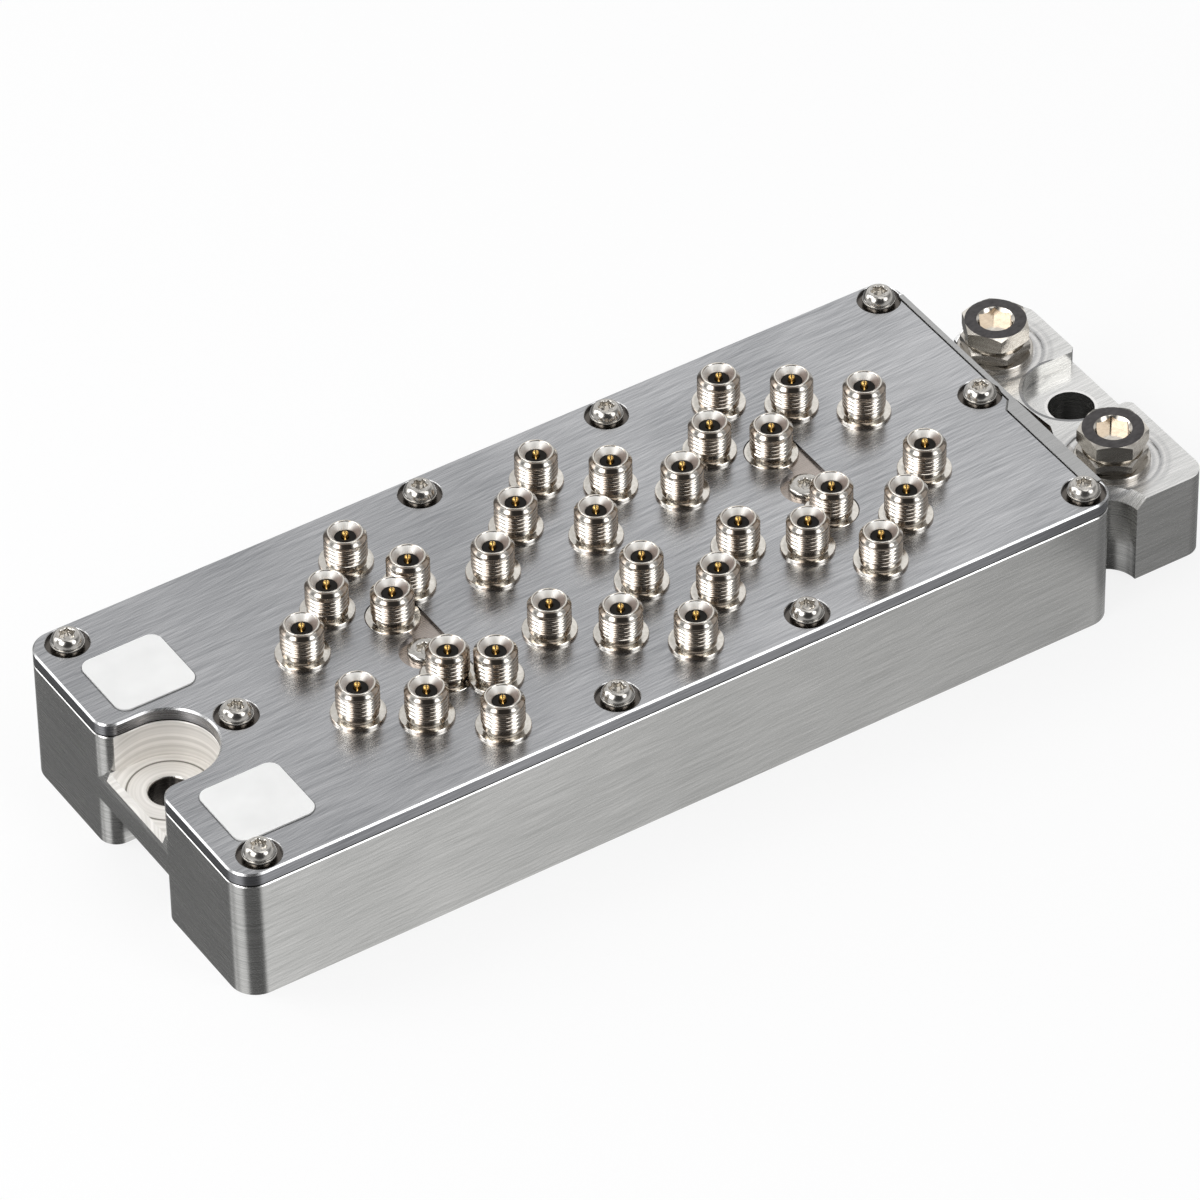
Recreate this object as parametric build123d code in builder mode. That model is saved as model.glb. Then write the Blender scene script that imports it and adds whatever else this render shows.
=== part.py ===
"""Multi-port bandpass filter block: milled housing, let-in lid, threaded jacks and bolted flange."""

from build123d import *
from math import atan2, cos, degrees, pi
import os

os.makedirs("parts", exist_ok=True)

# Driving sizes of the body, in millimetres
body_length = 147.6
body_width = 60.0
body_height = 22.7
lid_thickness = 2.2
corner_radius = 4.0
edge_break = 0.3

# Stepped strip of the housing that stands beside the lid at the flange end
strip_wide = 2.3
strip_narrow = 0.8
strip_end_inset = 4.6
strip_step_front = 25.0
strip_step_length = 1.8
strip_gap = 0.1

# Mounting notch in the other end
notch_width = 15.0
notch_centre_from_end = 6.1
notch_mouth_radius = 2.8
web_top = 14.0
web_bottom = 8.4
web_bevel_length = 0.9
web_bevel_height = 1.8
end_bore_diameter = 6.0
end_bore_chamfer = 0.3

# Flange
flange_length = 19.5
flange_height = 14.8
flange_front_setback = 5.0
flange_rear_setback = 8.0
flange_corner_radius = 3.0
groove_radius = 5.0
groove_centre_from_body = 2.0
groove_lip_length = 1.6
slot_radius = 6.9
slot_centre_from_body = 13.3
slot_centre_offset = 1.45
slot_depth = 2.8
slot_mouth_chamfer = 0.8
flange_bore_diameter = 7.0
flange_bore_offset = 0.65
relief_from_body = 1.4
relief_rear_length = 4.1
relief_mid_length = 4.9
relief_front_length = 3.1
relief_rear = 3.2
relief_mid = 5.4
relief_front = 10.8
relief_depth = 5.6
relief_corner_radius = 0.8

# Port plugs on the flange
plug_from_body = 9.5
plug_spacing = 30.0
plug_seat_radius = 7.2
plug_seat_depth = 0.2
plug_hex_flats = 9.2
plug_head_height = 2.8
plug_chamfer_height = 0.5
plug_top_radius = 4.6
plug_collar_radius = 4.2
plug_collar_height = 0.7
plug_stud_radius = 3.5
plug_stud_length = 8.0
plug_key_flats = 4.0
plug_key_depth = 2.2
plug_key_mouth_radius = 2.8
nut_height = 1.8
front_plug_turn = 28.0
rear_plug_turn = 5.0
rear_nut_turn = 15.0
plug_washer_radius = 5.7
plug_washer_thickness = 0.9
stud_clearance = 0.1

# Jacks
jack_height = 5.75
jack_body_radius = 3.175
jack_foot_radius = 4.0
jack_foot_height = 0.45
jack_foot_trim = 0.1
jack_bore_radius = 2.25
contact_radius = 0.475
contact_below_rim = 0.15
contact_hole_clearance = 0.15
array_centre_from_end = 79.6
array_offset = -1.7
recess_clearance = 0.1
recess_depth = 0.5

# Jack places from the array's centre: along the body, and out from the array's axis on both sides
outer_row_inset = 8.95
outer_row = body_width / 2 - outer_row_inset
left_places = [(-32.3, outer_row), (-40.1, 13.4), (-47.8, 7.5), (-27.6, 11.7), (-32.9, 7.4)]
middle_places = [(-0.1, outer_row), (-8.1, 13.9), (8.2, 14.1), (-16.0, 7.5), (16.1, 7.3), (0.5, 6.0)]
right_places = [(31.4, outer_row), (24.4, 12.8), (40.0, 14.8), (31.8, 7.8), (48.0, 7.8)]
recessed_places = [left_places[4], right_places[3]]

# What repeats many times has flat sides in place of a full circle, apart from the walls of the
# end jacks and of the outermost middle jacks, which stay round to be measured against.
jack_sides = 12
mouth_sides = 10
screw_sides = 12
small_sides = 6
plug_sides = 24

# Lid screws
screw_edge_inset = 3.7
screw_end_inset = 5.3
screw_flange_end_inset = 3.7
screw_first_along = 64.0
screw_second_along = 96.0
screw_notch_along = 17.4
inner_screw_from_jacks = -0.3
inner_screw_offset = -1.6
inner_seat_radius = 3.7
inner_head_height = 1.3
screw_head_radius = 2.5
screw_head_slope = 29.5
screw_head_dome = 1.5
screw_head_collar = 1.0
screw_shank_radius = 1.2
screw_length = 7.0
screw_hole_clearance = 0.2
thread_clearance = 0.05
thread_depth_spare = 1.5
seat_radius = 3.25
seat_depth = 0.6

# Inside: three bays with their boards, resonator blocks and partitions
bay_floor = 3.0
bay_ends = [(27.0, 58.0), (60.4, 98.6), (101.0, 132.0)]
bay_wall = 5.7
bay_corner_cut = 1.6
board_below_seam = 6.5
board_seat_width = 1.0
board_thickness = 0.8
board_clearance = 0.15
post_radius = 3.0
resonator_side = 4.0
resonator_length = 9.0
resonator_pitch = 10.0
partition_thickness = 0.5

# Labels
label_length = 12.8
label_width = 12.3
label_corner_radius = 1.8
label_thickness = 0.25
label_from_end = 4.0
label_front_from_edge = 6.6
label_rear_from_edge = 8.7

# Places worked out from the sizes above
overall_length = body_length + flange_length
end_x = -overall_length / 2
body_x = end_x + body_length
flange_x = end_x + overall_length
front_y = -body_width / 2
rear_y = body_width / 2
seam_z = body_height - lid_thickness
board_seat = seam_z - board_below_seam
array_x = end_x + array_centre_from_end
flange_front_y = front_y + flange_front_setback
flange_rear_y = rear_y - flange_rear_setback
notch_x = end_x + notch_centre_from_end
notch_radius = notch_width / 2
slot_x = body_x + slot_centre_from_body
slot_floor = flange_height - slot_depth
plug_x = body_x + plug_from_body
plug_seat_z = flange_height - plug_seat_depth
screw_seat_z = body_height - seat_depth
recess_z = body_height - recess_depth


def both_sides(places):
    """The places on both sides of the array's axis."""
    found = []
    for along, out in places:
        found.append((array_x + along, array_offset + out))
        found.append((array_x + along, array_offset - out))
    return found


jack_places = both_sides(left_places) + both_sides(middle_places) + both_sides(right_places)
recessed_jacks = both_sides(recessed_places)
raised_jacks = [place for place in jack_places if place not in recessed_jacks]
round_jacks = both_sides([left_places[2], middle_places[0], right_places[4]])
flat_sided_jacks = [place for place in raised_jacks if place not in round_jacks]

outer_screws = []
for screw_y in (front_y + screw_edge_inset, rear_y - screw_edge_inset):
    outer_screws.append((end_x + screw_end_inset, screw_y))
    outer_screws.append((end_x + screw_first_along, screw_y))
    outer_screws.append((end_x + screw_second_along, screw_y))
    outer_screws.append((body_x - screw_flange_end_inset, screw_y))
outer_screws.append((end_x + screw_notch_along, 0))
outer_screws.append((body_x - screw_flange_end_inset, 0))
inner_screws = []
for along, out in recessed_places:
    inner_screws.append((array_x + along + inner_screw_from_jacks, array_offset + inner_screw_offset))
screw_places = outer_screws + inner_screws


def body_outline():
    """Plan of the body, drawn in the sketch that calls it, with the notch and its rounded mouth."""
    with Locations((end_x + body_length / 2, 0)):
        RectangleRounded(body_length, body_width, corner_radius)
    with Locations((notch_x, 0)):
        Circle(notch_radius, mode=Mode.SUBTRACT)
    with Locations(((end_x + notch_x) / 2, 0)):
        Rectangle(notch_x - end_x, notch_width, mode=Mode.SUBTRACT)


def mouth_corners(plan):
    """The two corners where the notch opens through the end of the body."""
    near_end = plan.vertices().group_by(Axis.X)[0]
    return near_end.sort_by(lambda corner: abs(corner.Y))[:2]


def strip_points(grow):
    """Corners of the stepped strip beside the lid, widened by grow."""
    step_y = front_y + strip_step_front
    return [
        (body_x, front_y + strip_end_inset - grow),
        (body_x - strip_wide - grow, front_y + strip_end_inset - grow),
        (body_x - strip_wide - grow, step_y),
        (body_x - strip_narrow - grow, step_y + strip_step_length),
        (body_x - strip_narrow - grow, rear_y - strip_end_inset + grow),
        (body_x, rear_y - strip_end_inset + grow),
    ]


def bay_plan(centre, length, width):
    """Plan of a bay or its board, with its corners cut off, in the sketch that calls it."""
    half_x = length / 2
    half_y = width / 2
    corners = [
        (half_x, half_y - bay_corner_cut),
        (half_x - bay_corner_cut, half_y),
        (bay_corner_cut - half_x, half_y),
        (-half_x, half_y - bay_corner_cut),
        (-half_x, bay_corner_cut - half_y),
        (bay_corner_cut - half_x, -half_y),
        (half_x - bay_corner_cut, -half_y),
        (half_x, bay_corner_cut - half_y),
    ]
    with Locations(centre):
        Polygon(*corners, align=None)


def bay_box(ends, inset):
    """Centre and size of a bay's plan, drawn in from its walls by inset."""
    length = ends[1] - ends[0] - 2 * inset
    width = body_width - 2 * bay_wall - 2 * inset
    return (end_x + (ends[0] + ends[1]) / 2, 0), length, width


# Housing: one milled piece with the notch, the flange and three bays
with BuildPart() as housing:
    with BuildSketch(Plane.XY) as housing_plan:
        body_outline()
        fillet(mouth_corners(housing_plan), notch_mouth_radius)
    extrude(amount=seam_z)
    chamfer(housing.faces().sort_by(Axis.Z)[-1].outer_wire().edges(), edge_break)
    with BuildSketch(Plane.XY.offset(seam_z - edge_break)) as strip_plan:
        with BuildLine():
            Polyline(*strip_points(0), close=True)
        make_face()
    extrude(amount=lid_thickness + edge_break)
    with BuildSketch(Plane.XY.offset(screw_seat_z)) as strip_seat_plan:
        with Locations(*outer_screws):
            RegularPolygon(seat_radius, screw_sides)
    extrude(amount=seat_depth, mode=Mode.SUBTRACT)
    # Web across the notch, bevelled along its outer edge
    with BuildSketch(Plane.XZ) as web_plan:
        with BuildLine():
            Polyline(
                (end_x, web_bottom),
                (end_x, web_top - web_bevel_height),
                (end_x + web_bevel_length, web_top),
                (notch_x + notch_radius, web_top),
                (notch_x + notch_radius, web_bottom),
                close=True,
            )
        make_face()
    extrude(amount=notch_radius + notch_mouth_radius, both=True)
    with BuildSketch(Plane.XY) as flange_plan:
        flange_width = flange_rear_y - flange_front_y
        flange_middle = (flange_rear_y + flange_front_y) / 2
        with Locations((body_x + (flange_length - corner_radius) / 2, flange_middle)):
            Rectangle(flange_length + corner_radius, flange_width)
        far_corners = flange_plan.vertices().group_by(Axis.X)[-1]
        fillet(far_corners, flange_corner_radius)
    extrude(amount=flange_height)
    # Rounded reliefs between the body and the two ears
    with BuildSketch(Plane.XY) as groove_plan:
        groove_x = body_x + groove_centre_from_body
        with Locations((groove_x, flange_front_y), (groove_x, flange_rear_y)):
            Circle(groove_radius)
        with Locations((body_x - body_length / 2, 0)):
            Rectangle(body_length, body_width, mode=Mode.SUBTRACT)
    extrude(amount=flange_height, mode=Mode.SUBTRACT)
    top_edges = housing.edges().filter_by_position(
        Axis.Z, flange_height - stud_clearance, flange_height + stud_clearance
    )
    top_arcs = top_edges.filter_by(GeomType.CIRCLE).filter_by_position(Axis.X, body_x, flange_x)
    lip_edges = top_arcs.filter_by(lambda edge: abs(edge.radius - groove_radius) < edge_break)
    chamfer(lip_edges, groove_lip_length)
    # Open slot in the flange with its bore
    with BuildSketch(Plane.XY.offset(slot_floor)) as slot_plan:
        with Locations((slot_x, slot_centre_offset)):
            Circle(slot_radius)
        with Locations(((slot_x + flange_x) / 2, slot_centre_offset)):
            Rectangle(flange_x - slot_x, 2 * slot_radius)
        with BuildLine():
            Polyline(
                (flange_x - slot_mouth_chamfer, slot_centre_offset),
                (flange_x - slot_mouth_chamfer, slot_centre_offset + slot_radius),
                (flange_x, slot_centre_offset + slot_radius + slot_mouth_chamfer),
                (flange_x, slot_centre_offset - slot_radius - slot_mouth_chamfer),
                (flange_x - slot_mouth_chamfer, slot_centre_offset - slot_radius),
                close=True,
            )
        make_face()
    extrude(amount=slot_depth, mode=Mode.SUBTRACT)
    with Locations((slot_x, flange_bore_offset, slot_floor)):
        Hole(flange_bore_diameter / 2, depth=slot_floor)
    # Relief pocket between the slot and the body
    relief_x = body_x + relief_from_body
    with BuildSketch(Plane.XY.offset(flange_height - relief_depth)) as relief_plan:
        with BuildLine():
            Polyline(
                (relief_x, slot_centre_offset + relief_rear),
                (relief_x + relief_rear_length, slot_centre_offset + relief_rear),
                (relief_x + relief_mid_length, slot_centre_offset - relief_mid),
                (relief_x + relief_front_length, slot_centre_offset - relief_front + 1),
                (relief_x, slot_centre_offset - relief_front),
                close=True,
            )
        make_face()
        fillet(relief_plan.vertices(), relief_corner_radius)
    extrude(amount=relief_depth, mode=Mode.SUBTRACT)
    # Seats and bores for the two plugs
    plug_places = [(plug_x, -plug_spacing / 2), (plug_x, plug_spacing / 2)]
    with BuildSketch(Plane.XY.offset(plug_seat_z)) as seat_plan:
        with Locations(*plug_places):
            RegularPolygon(plug_seat_radius, plug_sides)
    extrude(amount=plug_seat_depth, mode=Mode.SUBTRACT)
    stud_depth = plug_stud_length + thread_depth_spare
    with BuildSketch(Plane.XY.offset(plug_seat_z - stud_depth)) as stud_hole_plan:
        with Locations(*plug_places):
            RegularPolygon(plug_stud_radius + stud_clearance, plug_sides)
    extrude(amount=stud_depth, mode=Mode.SUBTRACT)
    # Bore through the end web, for the other mounting screw
    with Locations((notch_x, 0, web_top)):
        CounterSinkHole(end_bore_diameter / 2, end_bore_diameter / 2 + end_bore_chamfer)
    # Three bays, each with a seat for its board
    for ends in bay_ends:
        centre, length, width = bay_box(ends, 0)
        with BuildSketch(Plane.XY.offset(board_seat)) as upper_plan:
            bay_plan(centre, length, width)
        extrude(amount=seam_z - board_seat, mode=Mode.SUBTRACT)
        centre, length, width = bay_box(ends, board_seat_width)
        with BuildSketch(Plane.XY.offset(bay_floor)) as lower_plan:
            bay_plan(centre, length, width)
        extrude(amount=board_seat - bay_floor, mode=Mode.SUBTRACT)
    # Posts that take the two inner screws
    with BuildSketch(Plane.XY.offset(bay_floor)) as post_plan:
        with Locations(*inner_screws):
            RegularPolygon(post_radius, screw_sides)
    extrude(amount=seam_z - bay_floor)
    tapped_depth = screw_length - (screw_seat_z - seam_z) + thread_depth_spare
    with BuildSketch(Plane.XY.offset(seam_z - tapped_depth)) as tapped_plan:
        with Locations(*screw_places):
            RegularPolygon(screw_shank_radius + thread_clearance, small_sides)
    extrude(amount=tapped_depth, mode=Mode.SUBTRACT)
housing.part.label = "housing"
export_step(housing.part, "parts/housing.step")

# Lid: same outline as the body, stepped round the strip at the flange end
with BuildPart() as lid:
    with BuildSketch(Plane.XY.offset(seam_z)) as lid_plan:
        body_outline()
        fillet(mouth_corners(lid_plan), notch_mouth_radius)
        with BuildLine():
            Polyline(*strip_points(strip_gap), close=True)
        make_face(mode=Mode.SUBTRACT)
    extrude(amount=lid_thickness)
    chamfer(lid.faces().sort_by(Axis.Z)[-1].outer_wire().edges(), edge_break)
    # Recesses that hold two jacks and the screw between them, straight along one side
    recess_radius = jack_foot_radius + recess_clearance
    for along, out in recessed_places:
        with BuildSketch(Plane.XY.offset(recess_z)) as recess_plan:
            with Locations((array_x + along, array_offset + out), (array_x + along, array_offset - out)):
                RegularPolygon(recess_radius, jack_sides)
            with Locations((array_x + along + inner_screw_from_jacks, array_offset + inner_screw_offset)):
                RegularPolygon(inner_seat_radius, jack_sides)
            with Locations((array_x + along + recess_radius / 2, array_offset)):
                Rectangle(recess_radius, 2 * out)
        extrude(amount=recess_depth, mode=Mode.SUBTRACT)
    # Holes for the contacts and the screws, and seats for the outer screws' heads
    with BuildSketch(Plane.XY.offset(seam_z)) as hole_plan:
        with Locations(*jack_places):
            RegularPolygon(contact_radius + contact_hole_clearance, small_sides)
        with Locations(*screw_places):
            RegularPolygon(screw_shank_radius + screw_hole_clearance, small_sides)
    extrude(amount=lid_thickness, mode=Mode.SUBTRACT)
    with BuildSketch(Plane.XY.offset(screw_seat_z)) as head_seat_plan:
        with Locations(*outer_screws):
            RegularPolygon(seat_radius, screw_sides)
    extrude(amount=seat_depth, mode=Mode.SUBTRACT)
lid.part.label = "lid"
export_step(lid.part, "parts/lid.step")


def ring_plan(places, outer_radius, sides):
    """Plan of the jack shells at places, drawn in the sketch that calls it: round, or with flat sides."""
    with Locations(*places):
        if sides:
            RegularPolygon(outer_radius, sides)
        else:
            Circle(outer_radius)
        RegularPolygon(jack_bore_radius, mouth_sides, mode=Mode.SUBTRACT)


# Jack shells: 32 turned tubes with a foot, four of them in the recesses
shell_groups = [
    (body_height, round_jacks, 0),
    (body_height, flat_sided_jacks, jack_sides),
    (recess_z, recessed_jacks, jack_sides),
]
with BuildPart() as jack_shells:
    for foot_z, places, sides in shell_groups:
        with BuildSketch(Plane.XY.offset(foot_z)) as foot_plan:
            ring_plan(places, jack_foot_radius, jack_sides)
        extrude(amount=jack_foot_height)
        with BuildSketch(Plane.XY.offset(foot_z + jack_foot_height)) as shell_plan:
            ring_plan(places, jack_body_radius, sides)
        extrude(amount=jack_height - jack_foot_height)
    # Feet are cut back where a neighbouring jack or a screw head stands closer than a whole foot
    with BuildSketch(Plane.XY.offset(body_height)) as raised_trim:
        with Locations(*recessed_jacks):
            RegularPolygon(jack_body_radius + jack_foot_trim, jack_sides)
            RegularPolygon(jack_body_radius, jack_sides, mode=Mode.SUBTRACT)
    extrude(amount=jack_foot_height, mode=Mode.SUBTRACT)
    with BuildSketch(Plane.XY.offset(recess_z)) as recessed_trim:
        with Locations(*inner_screws):
            RegularPolygon(screw_head_radius + thread_clearance, screw_sides)
    extrude(amount=recess_depth, mode=Mode.SUBTRACT)
jack_shells.part.label = "jack_shells"
export_step(jack_shells.part, "parts/jack_shells.step")

# Centre contacts: pins from the jack mouths through the lid down to the boards
board_top = board_seat + board_thickness
with BuildPart() as centre_contacts:
    with BuildSketch(Plane.XY.offset(board_top)) as contact_plan:
        with Locations(*raised_jacks):
            RegularPolygon(contact_radius, small_sides)
    extrude(amount=body_height + jack_height - contact_below_rim - board_top)
    with BuildSketch(Plane.XY.offset(board_top)) as recessed_contact_plan:
        with Locations(*recessed_jacks):
            RegularPolygon(contact_radius, small_sides)
    extrude(amount=recess_z + jack_height - contact_below_rim - board_top)
centre_contacts.part.label = "centre_contacts"
export_step(centre_contacts.part, "parts/centre_contacts.step")

# Lid screws: ten high button heads in the counterbores and two low heads in the recesses
screw_groups = [
    (screw_seat_z, outer_screws, screw_head_collar, screw_head_dome),
    (recess_z, inner_screws, inner_head_height - edge_break, edge_break),
]
with BuildPart() as lid_screws:
    for seat_z, places, collar, dome in screw_groups:
        with BuildSketch(Plane.XY.offset(screw_seat_z - screw_length)) as shank_plan:
            with Locations(*places):
                RegularPolygon(screw_shank_radius, small_sides)
        extrude(amount=seat_z - screw_seat_z + screw_length)
        with BuildSketch(Plane.XY.offset(seat_z)) as head_plan:
            with Locations(*places):
                RegularPolygon(screw_head_radius, screw_sides)
        extrude(amount=collar)
        with BuildSketch(Plane.XY.offset(seat_z + collar)) as dome_plan:
            with Locations(*places):
                RegularPolygon(screw_head_radius, screw_sides)
        extrude(amount=dome, taper=screw_head_slope)
lid_screws.part.label = "lid_screws"
export_step(lid_screws.part, "parts/lid_screws.step")

# Plugs, jam nuts and washers on the flange
plug_sides_and_turns = (
    ("front", -plug_spacing / 2, front_plug_turn, front_plug_turn),
    ("rear", plug_spacing / 2, rear_plug_turn, rear_nut_turn),
)
for side, place_y, head_turn, nut_turn in plug_sides_and_turns:
    washer_top = plug_seat_z + plug_washer_thickness
    nut_top = washer_top + nut_height
    head_z = nut_top + plug_collar_height
    plug_top = head_z + plug_head_height
    hex_radius = plug_hex_flats / 2 / (3 ** 0.5 / 2)
    with BuildPart() as plug_washer:
        with BuildSketch(Plane.XY.offset(plug_seat_z)) as plug_washer_plan:
            with Locations((plug_x, place_y)):
                RegularPolygon(plug_washer_radius, plug_sides)
                RegularPolygon(plug_stud_radius + stud_clearance, plug_sides, mode=Mode.SUBTRACT)
        extrude(amount=plug_washer_thickness)
    plug_washer.part.label = "plug_washer_" + side
    export_step(plug_washer.part, "parts/plug_washer_" + side + ".step")
    with BuildPart() as jam_nut:
        with BuildSketch(Plane.XY.offset(washer_top)) as nut_plan:
            with Locations((plug_x, place_y)):
                RegularPolygon(hex_radius, 6, rotation=nut_turn)
                RegularPolygon(plug_stud_radius + stud_clearance, plug_sides, mode=Mode.SUBTRACT)
        extrude(amount=nut_height)
    jam_nut.part.label = "jam_nut_" + side
    export_step(jam_nut.part, "parts/jam_nut_" + side + ".step")
    with BuildPart() as port_plug:
        # The head is turned to a round top face first, then the hexagon is cut from it
        with BuildSketch(Plane.XY.offset(head_z)) as blank_plan:
            with Locations((plug_x, place_y)):
                RegularPolygon(hex_radius, plug_sides)
        extrude(amount=plug_head_height - plug_chamfer_height)
        with BuildSketch(Plane.XY.offset(plug_top - plug_chamfer_height)) as top_plan:
            with Locations((plug_x, place_y)):
                RegularPolygon(hex_radius, plug_sides)
        top_slope = atan2((hex_radius - plug_top_radius) * cos(pi / plug_sides), plug_chamfer_height)
        extrude(amount=plug_chamfer_height, taper=degrees(top_slope))
        with BuildSketch(Plane.XY.offset(head_z)) as head_plan:
            with Locations((plug_x, place_y)):
                RegularPolygon(hex_radius, 6, rotation=head_turn)
        extrude(amount=plug_head_height, mode=Mode.INTERSECT)
        with BuildSketch(Plane.XY.offset(nut_top)) as collar_plan:
            with Locations((plug_x, place_y)):
                RegularPolygon(plug_collar_radius, plug_sides)
        extrude(amount=plug_collar_height)
        with BuildSketch(Plane.XY.offset(plug_seat_z - plug_stud_length)) as stud_plan:
            with Locations((plug_x, place_y)):
                RegularPolygon(plug_stud_radius, plug_sides)
        extrude(amount=nut_top - plug_seat_z + plug_stud_length)
        # Hexagonal key socket with a countersunk mouth
        with BuildSketch(Plane.XY.offset(plug_top - plug_key_depth)) as key_plan:
            with Locations((plug_x, place_y)):
                RegularPolygon(plug_key_flats / 2 / (3 ** 0.5 / 2), 6)
        extrude(amount=plug_key_depth, mode=Mode.SUBTRACT)
        with BuildSketch(Plane.XY.offset(plug_top)) as mouth_plan:
            with Locations((plug_x, place_y)):
                RegularPolygon(plug_key_mouth_radius, screw_sides)
        mouth_depth = plug_key_mouth_radius - plug_key_flats / 2
        extrude(amount=-mouth_depth, taper=45, mode=Mode.SUBTRACT)
    port_plug.part.label = "port_plug_" + side
    export_step(port_plug.part, "parts/port_plug_" + side + ".step")


def clear_of_posts(place):
    """Whether a resonator block at place stands clear of both screw posts."""
    reach_x = resonator_length / 2 + post_radius + board_clearance
    reach_y = resonator_side / 2 + post_radius + board_clearance
    for x, y in inner_screws:
        if abs(place[0] - x) < reach_x and abs(place[1] - y) < reach_y:
            return False
    return True


# Boards, resonator blocks and partitions in the bays
bay_names = ("left", "middle", "right")
for name, ends in zip(bay_names, bay_ends):
    centre, length, width = bay_box(ends, board_clearance)
    with BuildPart() as filter_board:
        with BuildSketch(Plane.XY.offset(board_seat)) as board_plan:
            bay_plan(centre, length, width)
            with Locations(*inner_screws):
                RegularPolygon(post_radius + board_clearance, screw_sides, mode=Mode.SUBTRACT)
        extrude(amount=board_thickness)
    filter_board.part.label = "filter_board_" + name
    export_step(filter_board.part, "parts/filter_board_" + name + ".step")

    # Ceramic resonators hang under the board in rows across the bay
    resonator_top = board_seat
    row_count = int((width - resonator_side) // resonator_pitch) + 1
    row_span = (row_count - 1) * resonator_pitch
    column_offset = length / 4
    with BuildPart() as resonators:
        with BuildSketch(Plane.XY.offset(resonator_top - resonator_side)) as resonator_plan:
            for column in (-column_offset, column_offset):
                for row in range(row_count):
                    place = (centre[0] + column, row * resonator_pitch - row_span / 2)
                    if clear_of_posts(place):
                        with Locations(place):
                            Rectangle(resonator_length, resonator_side)
        extrude(amount=resonator_side)
    resonators.part.label = "resonators_" + name
    export_step(resonators.part, "parts/resonators_" + name + ".step")

    # Sheet partitions between the rows stand on the bay floor and reach the board
    lower_length = bay_box(ends, board_seat_width)[1] - 2 * board_clearance
    with BuildPart() as partitions:
        with BuildSketch(Plane.XY.offset(bay_floor)) as partition_plan:
            for row in range(row_count - 1):
                row_y = (row + 0.5) * resonator_pitch - row_span / 2
                with Locations((centre[0], row_y)):
                    Rectangle(lower_length, partition_thickness)
            with Locations(*inner_screws):
                RegularPolygon(post_radius + board_clearance, screw_sides, mode=Mode.SUBTRACT)
        extrude(amount=board_seat - bay_floor)
    partitions.part.label = "partitions_" + name
    export_step(partitions.part, "parts/partitions_" + name + ".step")

# Blank labels on the lid
label_middle_x = end_x + label_from_end + label_length / 2
label_places = {
    "front": front_y + label_front_from_edge + label_width / 2,
    "rear": rear_y - label_rear_from_edge - label_width / 2,
}
for side, label_y in label_places.items():
    with BuildPart() as label_piece:
        with BuildSketch(Plane.XY.offset(body_height)) as label_plan:
            with Locations((label_middle_x, label_y)):
                RectangleRounded(label_length, label_width, label_corner_radius)
        extrude(amount=label_thickness)
    label_piece.part.label = "label_" + side
    export_step(label_piece.part, "parts/label_" + side + ".step")
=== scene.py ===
"""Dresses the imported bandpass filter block: milled block, lid, threaded jacks, screws, plugs and stage.

The file is laid out as an add-on. It is run as a script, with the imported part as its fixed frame.
"""

import math

import bmesh
import bpy
from mathutils import Matrix, Vector


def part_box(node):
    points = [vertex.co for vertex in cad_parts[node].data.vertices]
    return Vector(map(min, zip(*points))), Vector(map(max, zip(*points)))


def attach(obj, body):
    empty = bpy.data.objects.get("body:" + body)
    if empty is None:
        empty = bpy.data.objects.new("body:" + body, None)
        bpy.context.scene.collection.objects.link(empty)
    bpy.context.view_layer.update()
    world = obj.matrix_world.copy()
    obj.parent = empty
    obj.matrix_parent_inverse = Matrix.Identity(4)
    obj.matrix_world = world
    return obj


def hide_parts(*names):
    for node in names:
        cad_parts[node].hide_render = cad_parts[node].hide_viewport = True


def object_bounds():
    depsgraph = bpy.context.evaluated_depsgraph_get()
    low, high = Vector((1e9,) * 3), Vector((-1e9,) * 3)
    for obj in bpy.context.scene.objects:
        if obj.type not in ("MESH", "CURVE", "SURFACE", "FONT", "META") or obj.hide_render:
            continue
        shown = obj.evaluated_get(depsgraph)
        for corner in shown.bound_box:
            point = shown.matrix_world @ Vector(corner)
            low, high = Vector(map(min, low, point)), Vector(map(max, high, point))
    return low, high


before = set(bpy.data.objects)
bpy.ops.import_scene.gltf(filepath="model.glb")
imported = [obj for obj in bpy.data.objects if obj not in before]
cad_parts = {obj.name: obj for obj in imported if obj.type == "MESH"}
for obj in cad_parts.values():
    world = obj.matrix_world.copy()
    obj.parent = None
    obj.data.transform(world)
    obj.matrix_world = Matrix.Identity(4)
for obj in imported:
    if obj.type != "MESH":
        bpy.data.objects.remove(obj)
CAD_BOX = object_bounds()

bl_info = {
    "name": "Bandpass filter block",
    "version": (1, 0, 0),
    "blender": (4, 5, 0),
    "location": "View3D > Sidebar > Filter block",
    "description": "Gives the packed filter block its turned, threaded and milled pieces and its finishes",
    "category": "Object",
}

MM = 0.001
# Places in millimetres: the notch from the block's end, the bore in the slot from the middle
NOTCH_FROM_END = 6.1
NOTCH_RADIUS = 7.5
NOTCH_STEPS = 30
SLOT_BORE_Y = 0.65
JACK_HEIGHT = 5.75
# An outer screw's head stands this much higher over the lid than an inner one's
SCREW_HEAD_SPLIT = 1.5
MERGE_DISTANCE = 1e-6


# Places read from the frame


def merged_mesh(data):
    """A bmesh of the data with its loose triangles joined."""
    mesh = bmesh.new()
    mesh.from_mesh(data)
    bmesh.ops.remove_doubles(mesh, verts=mesh.verts, dist=MERGE_DISTANCE)
    return mesh


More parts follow.
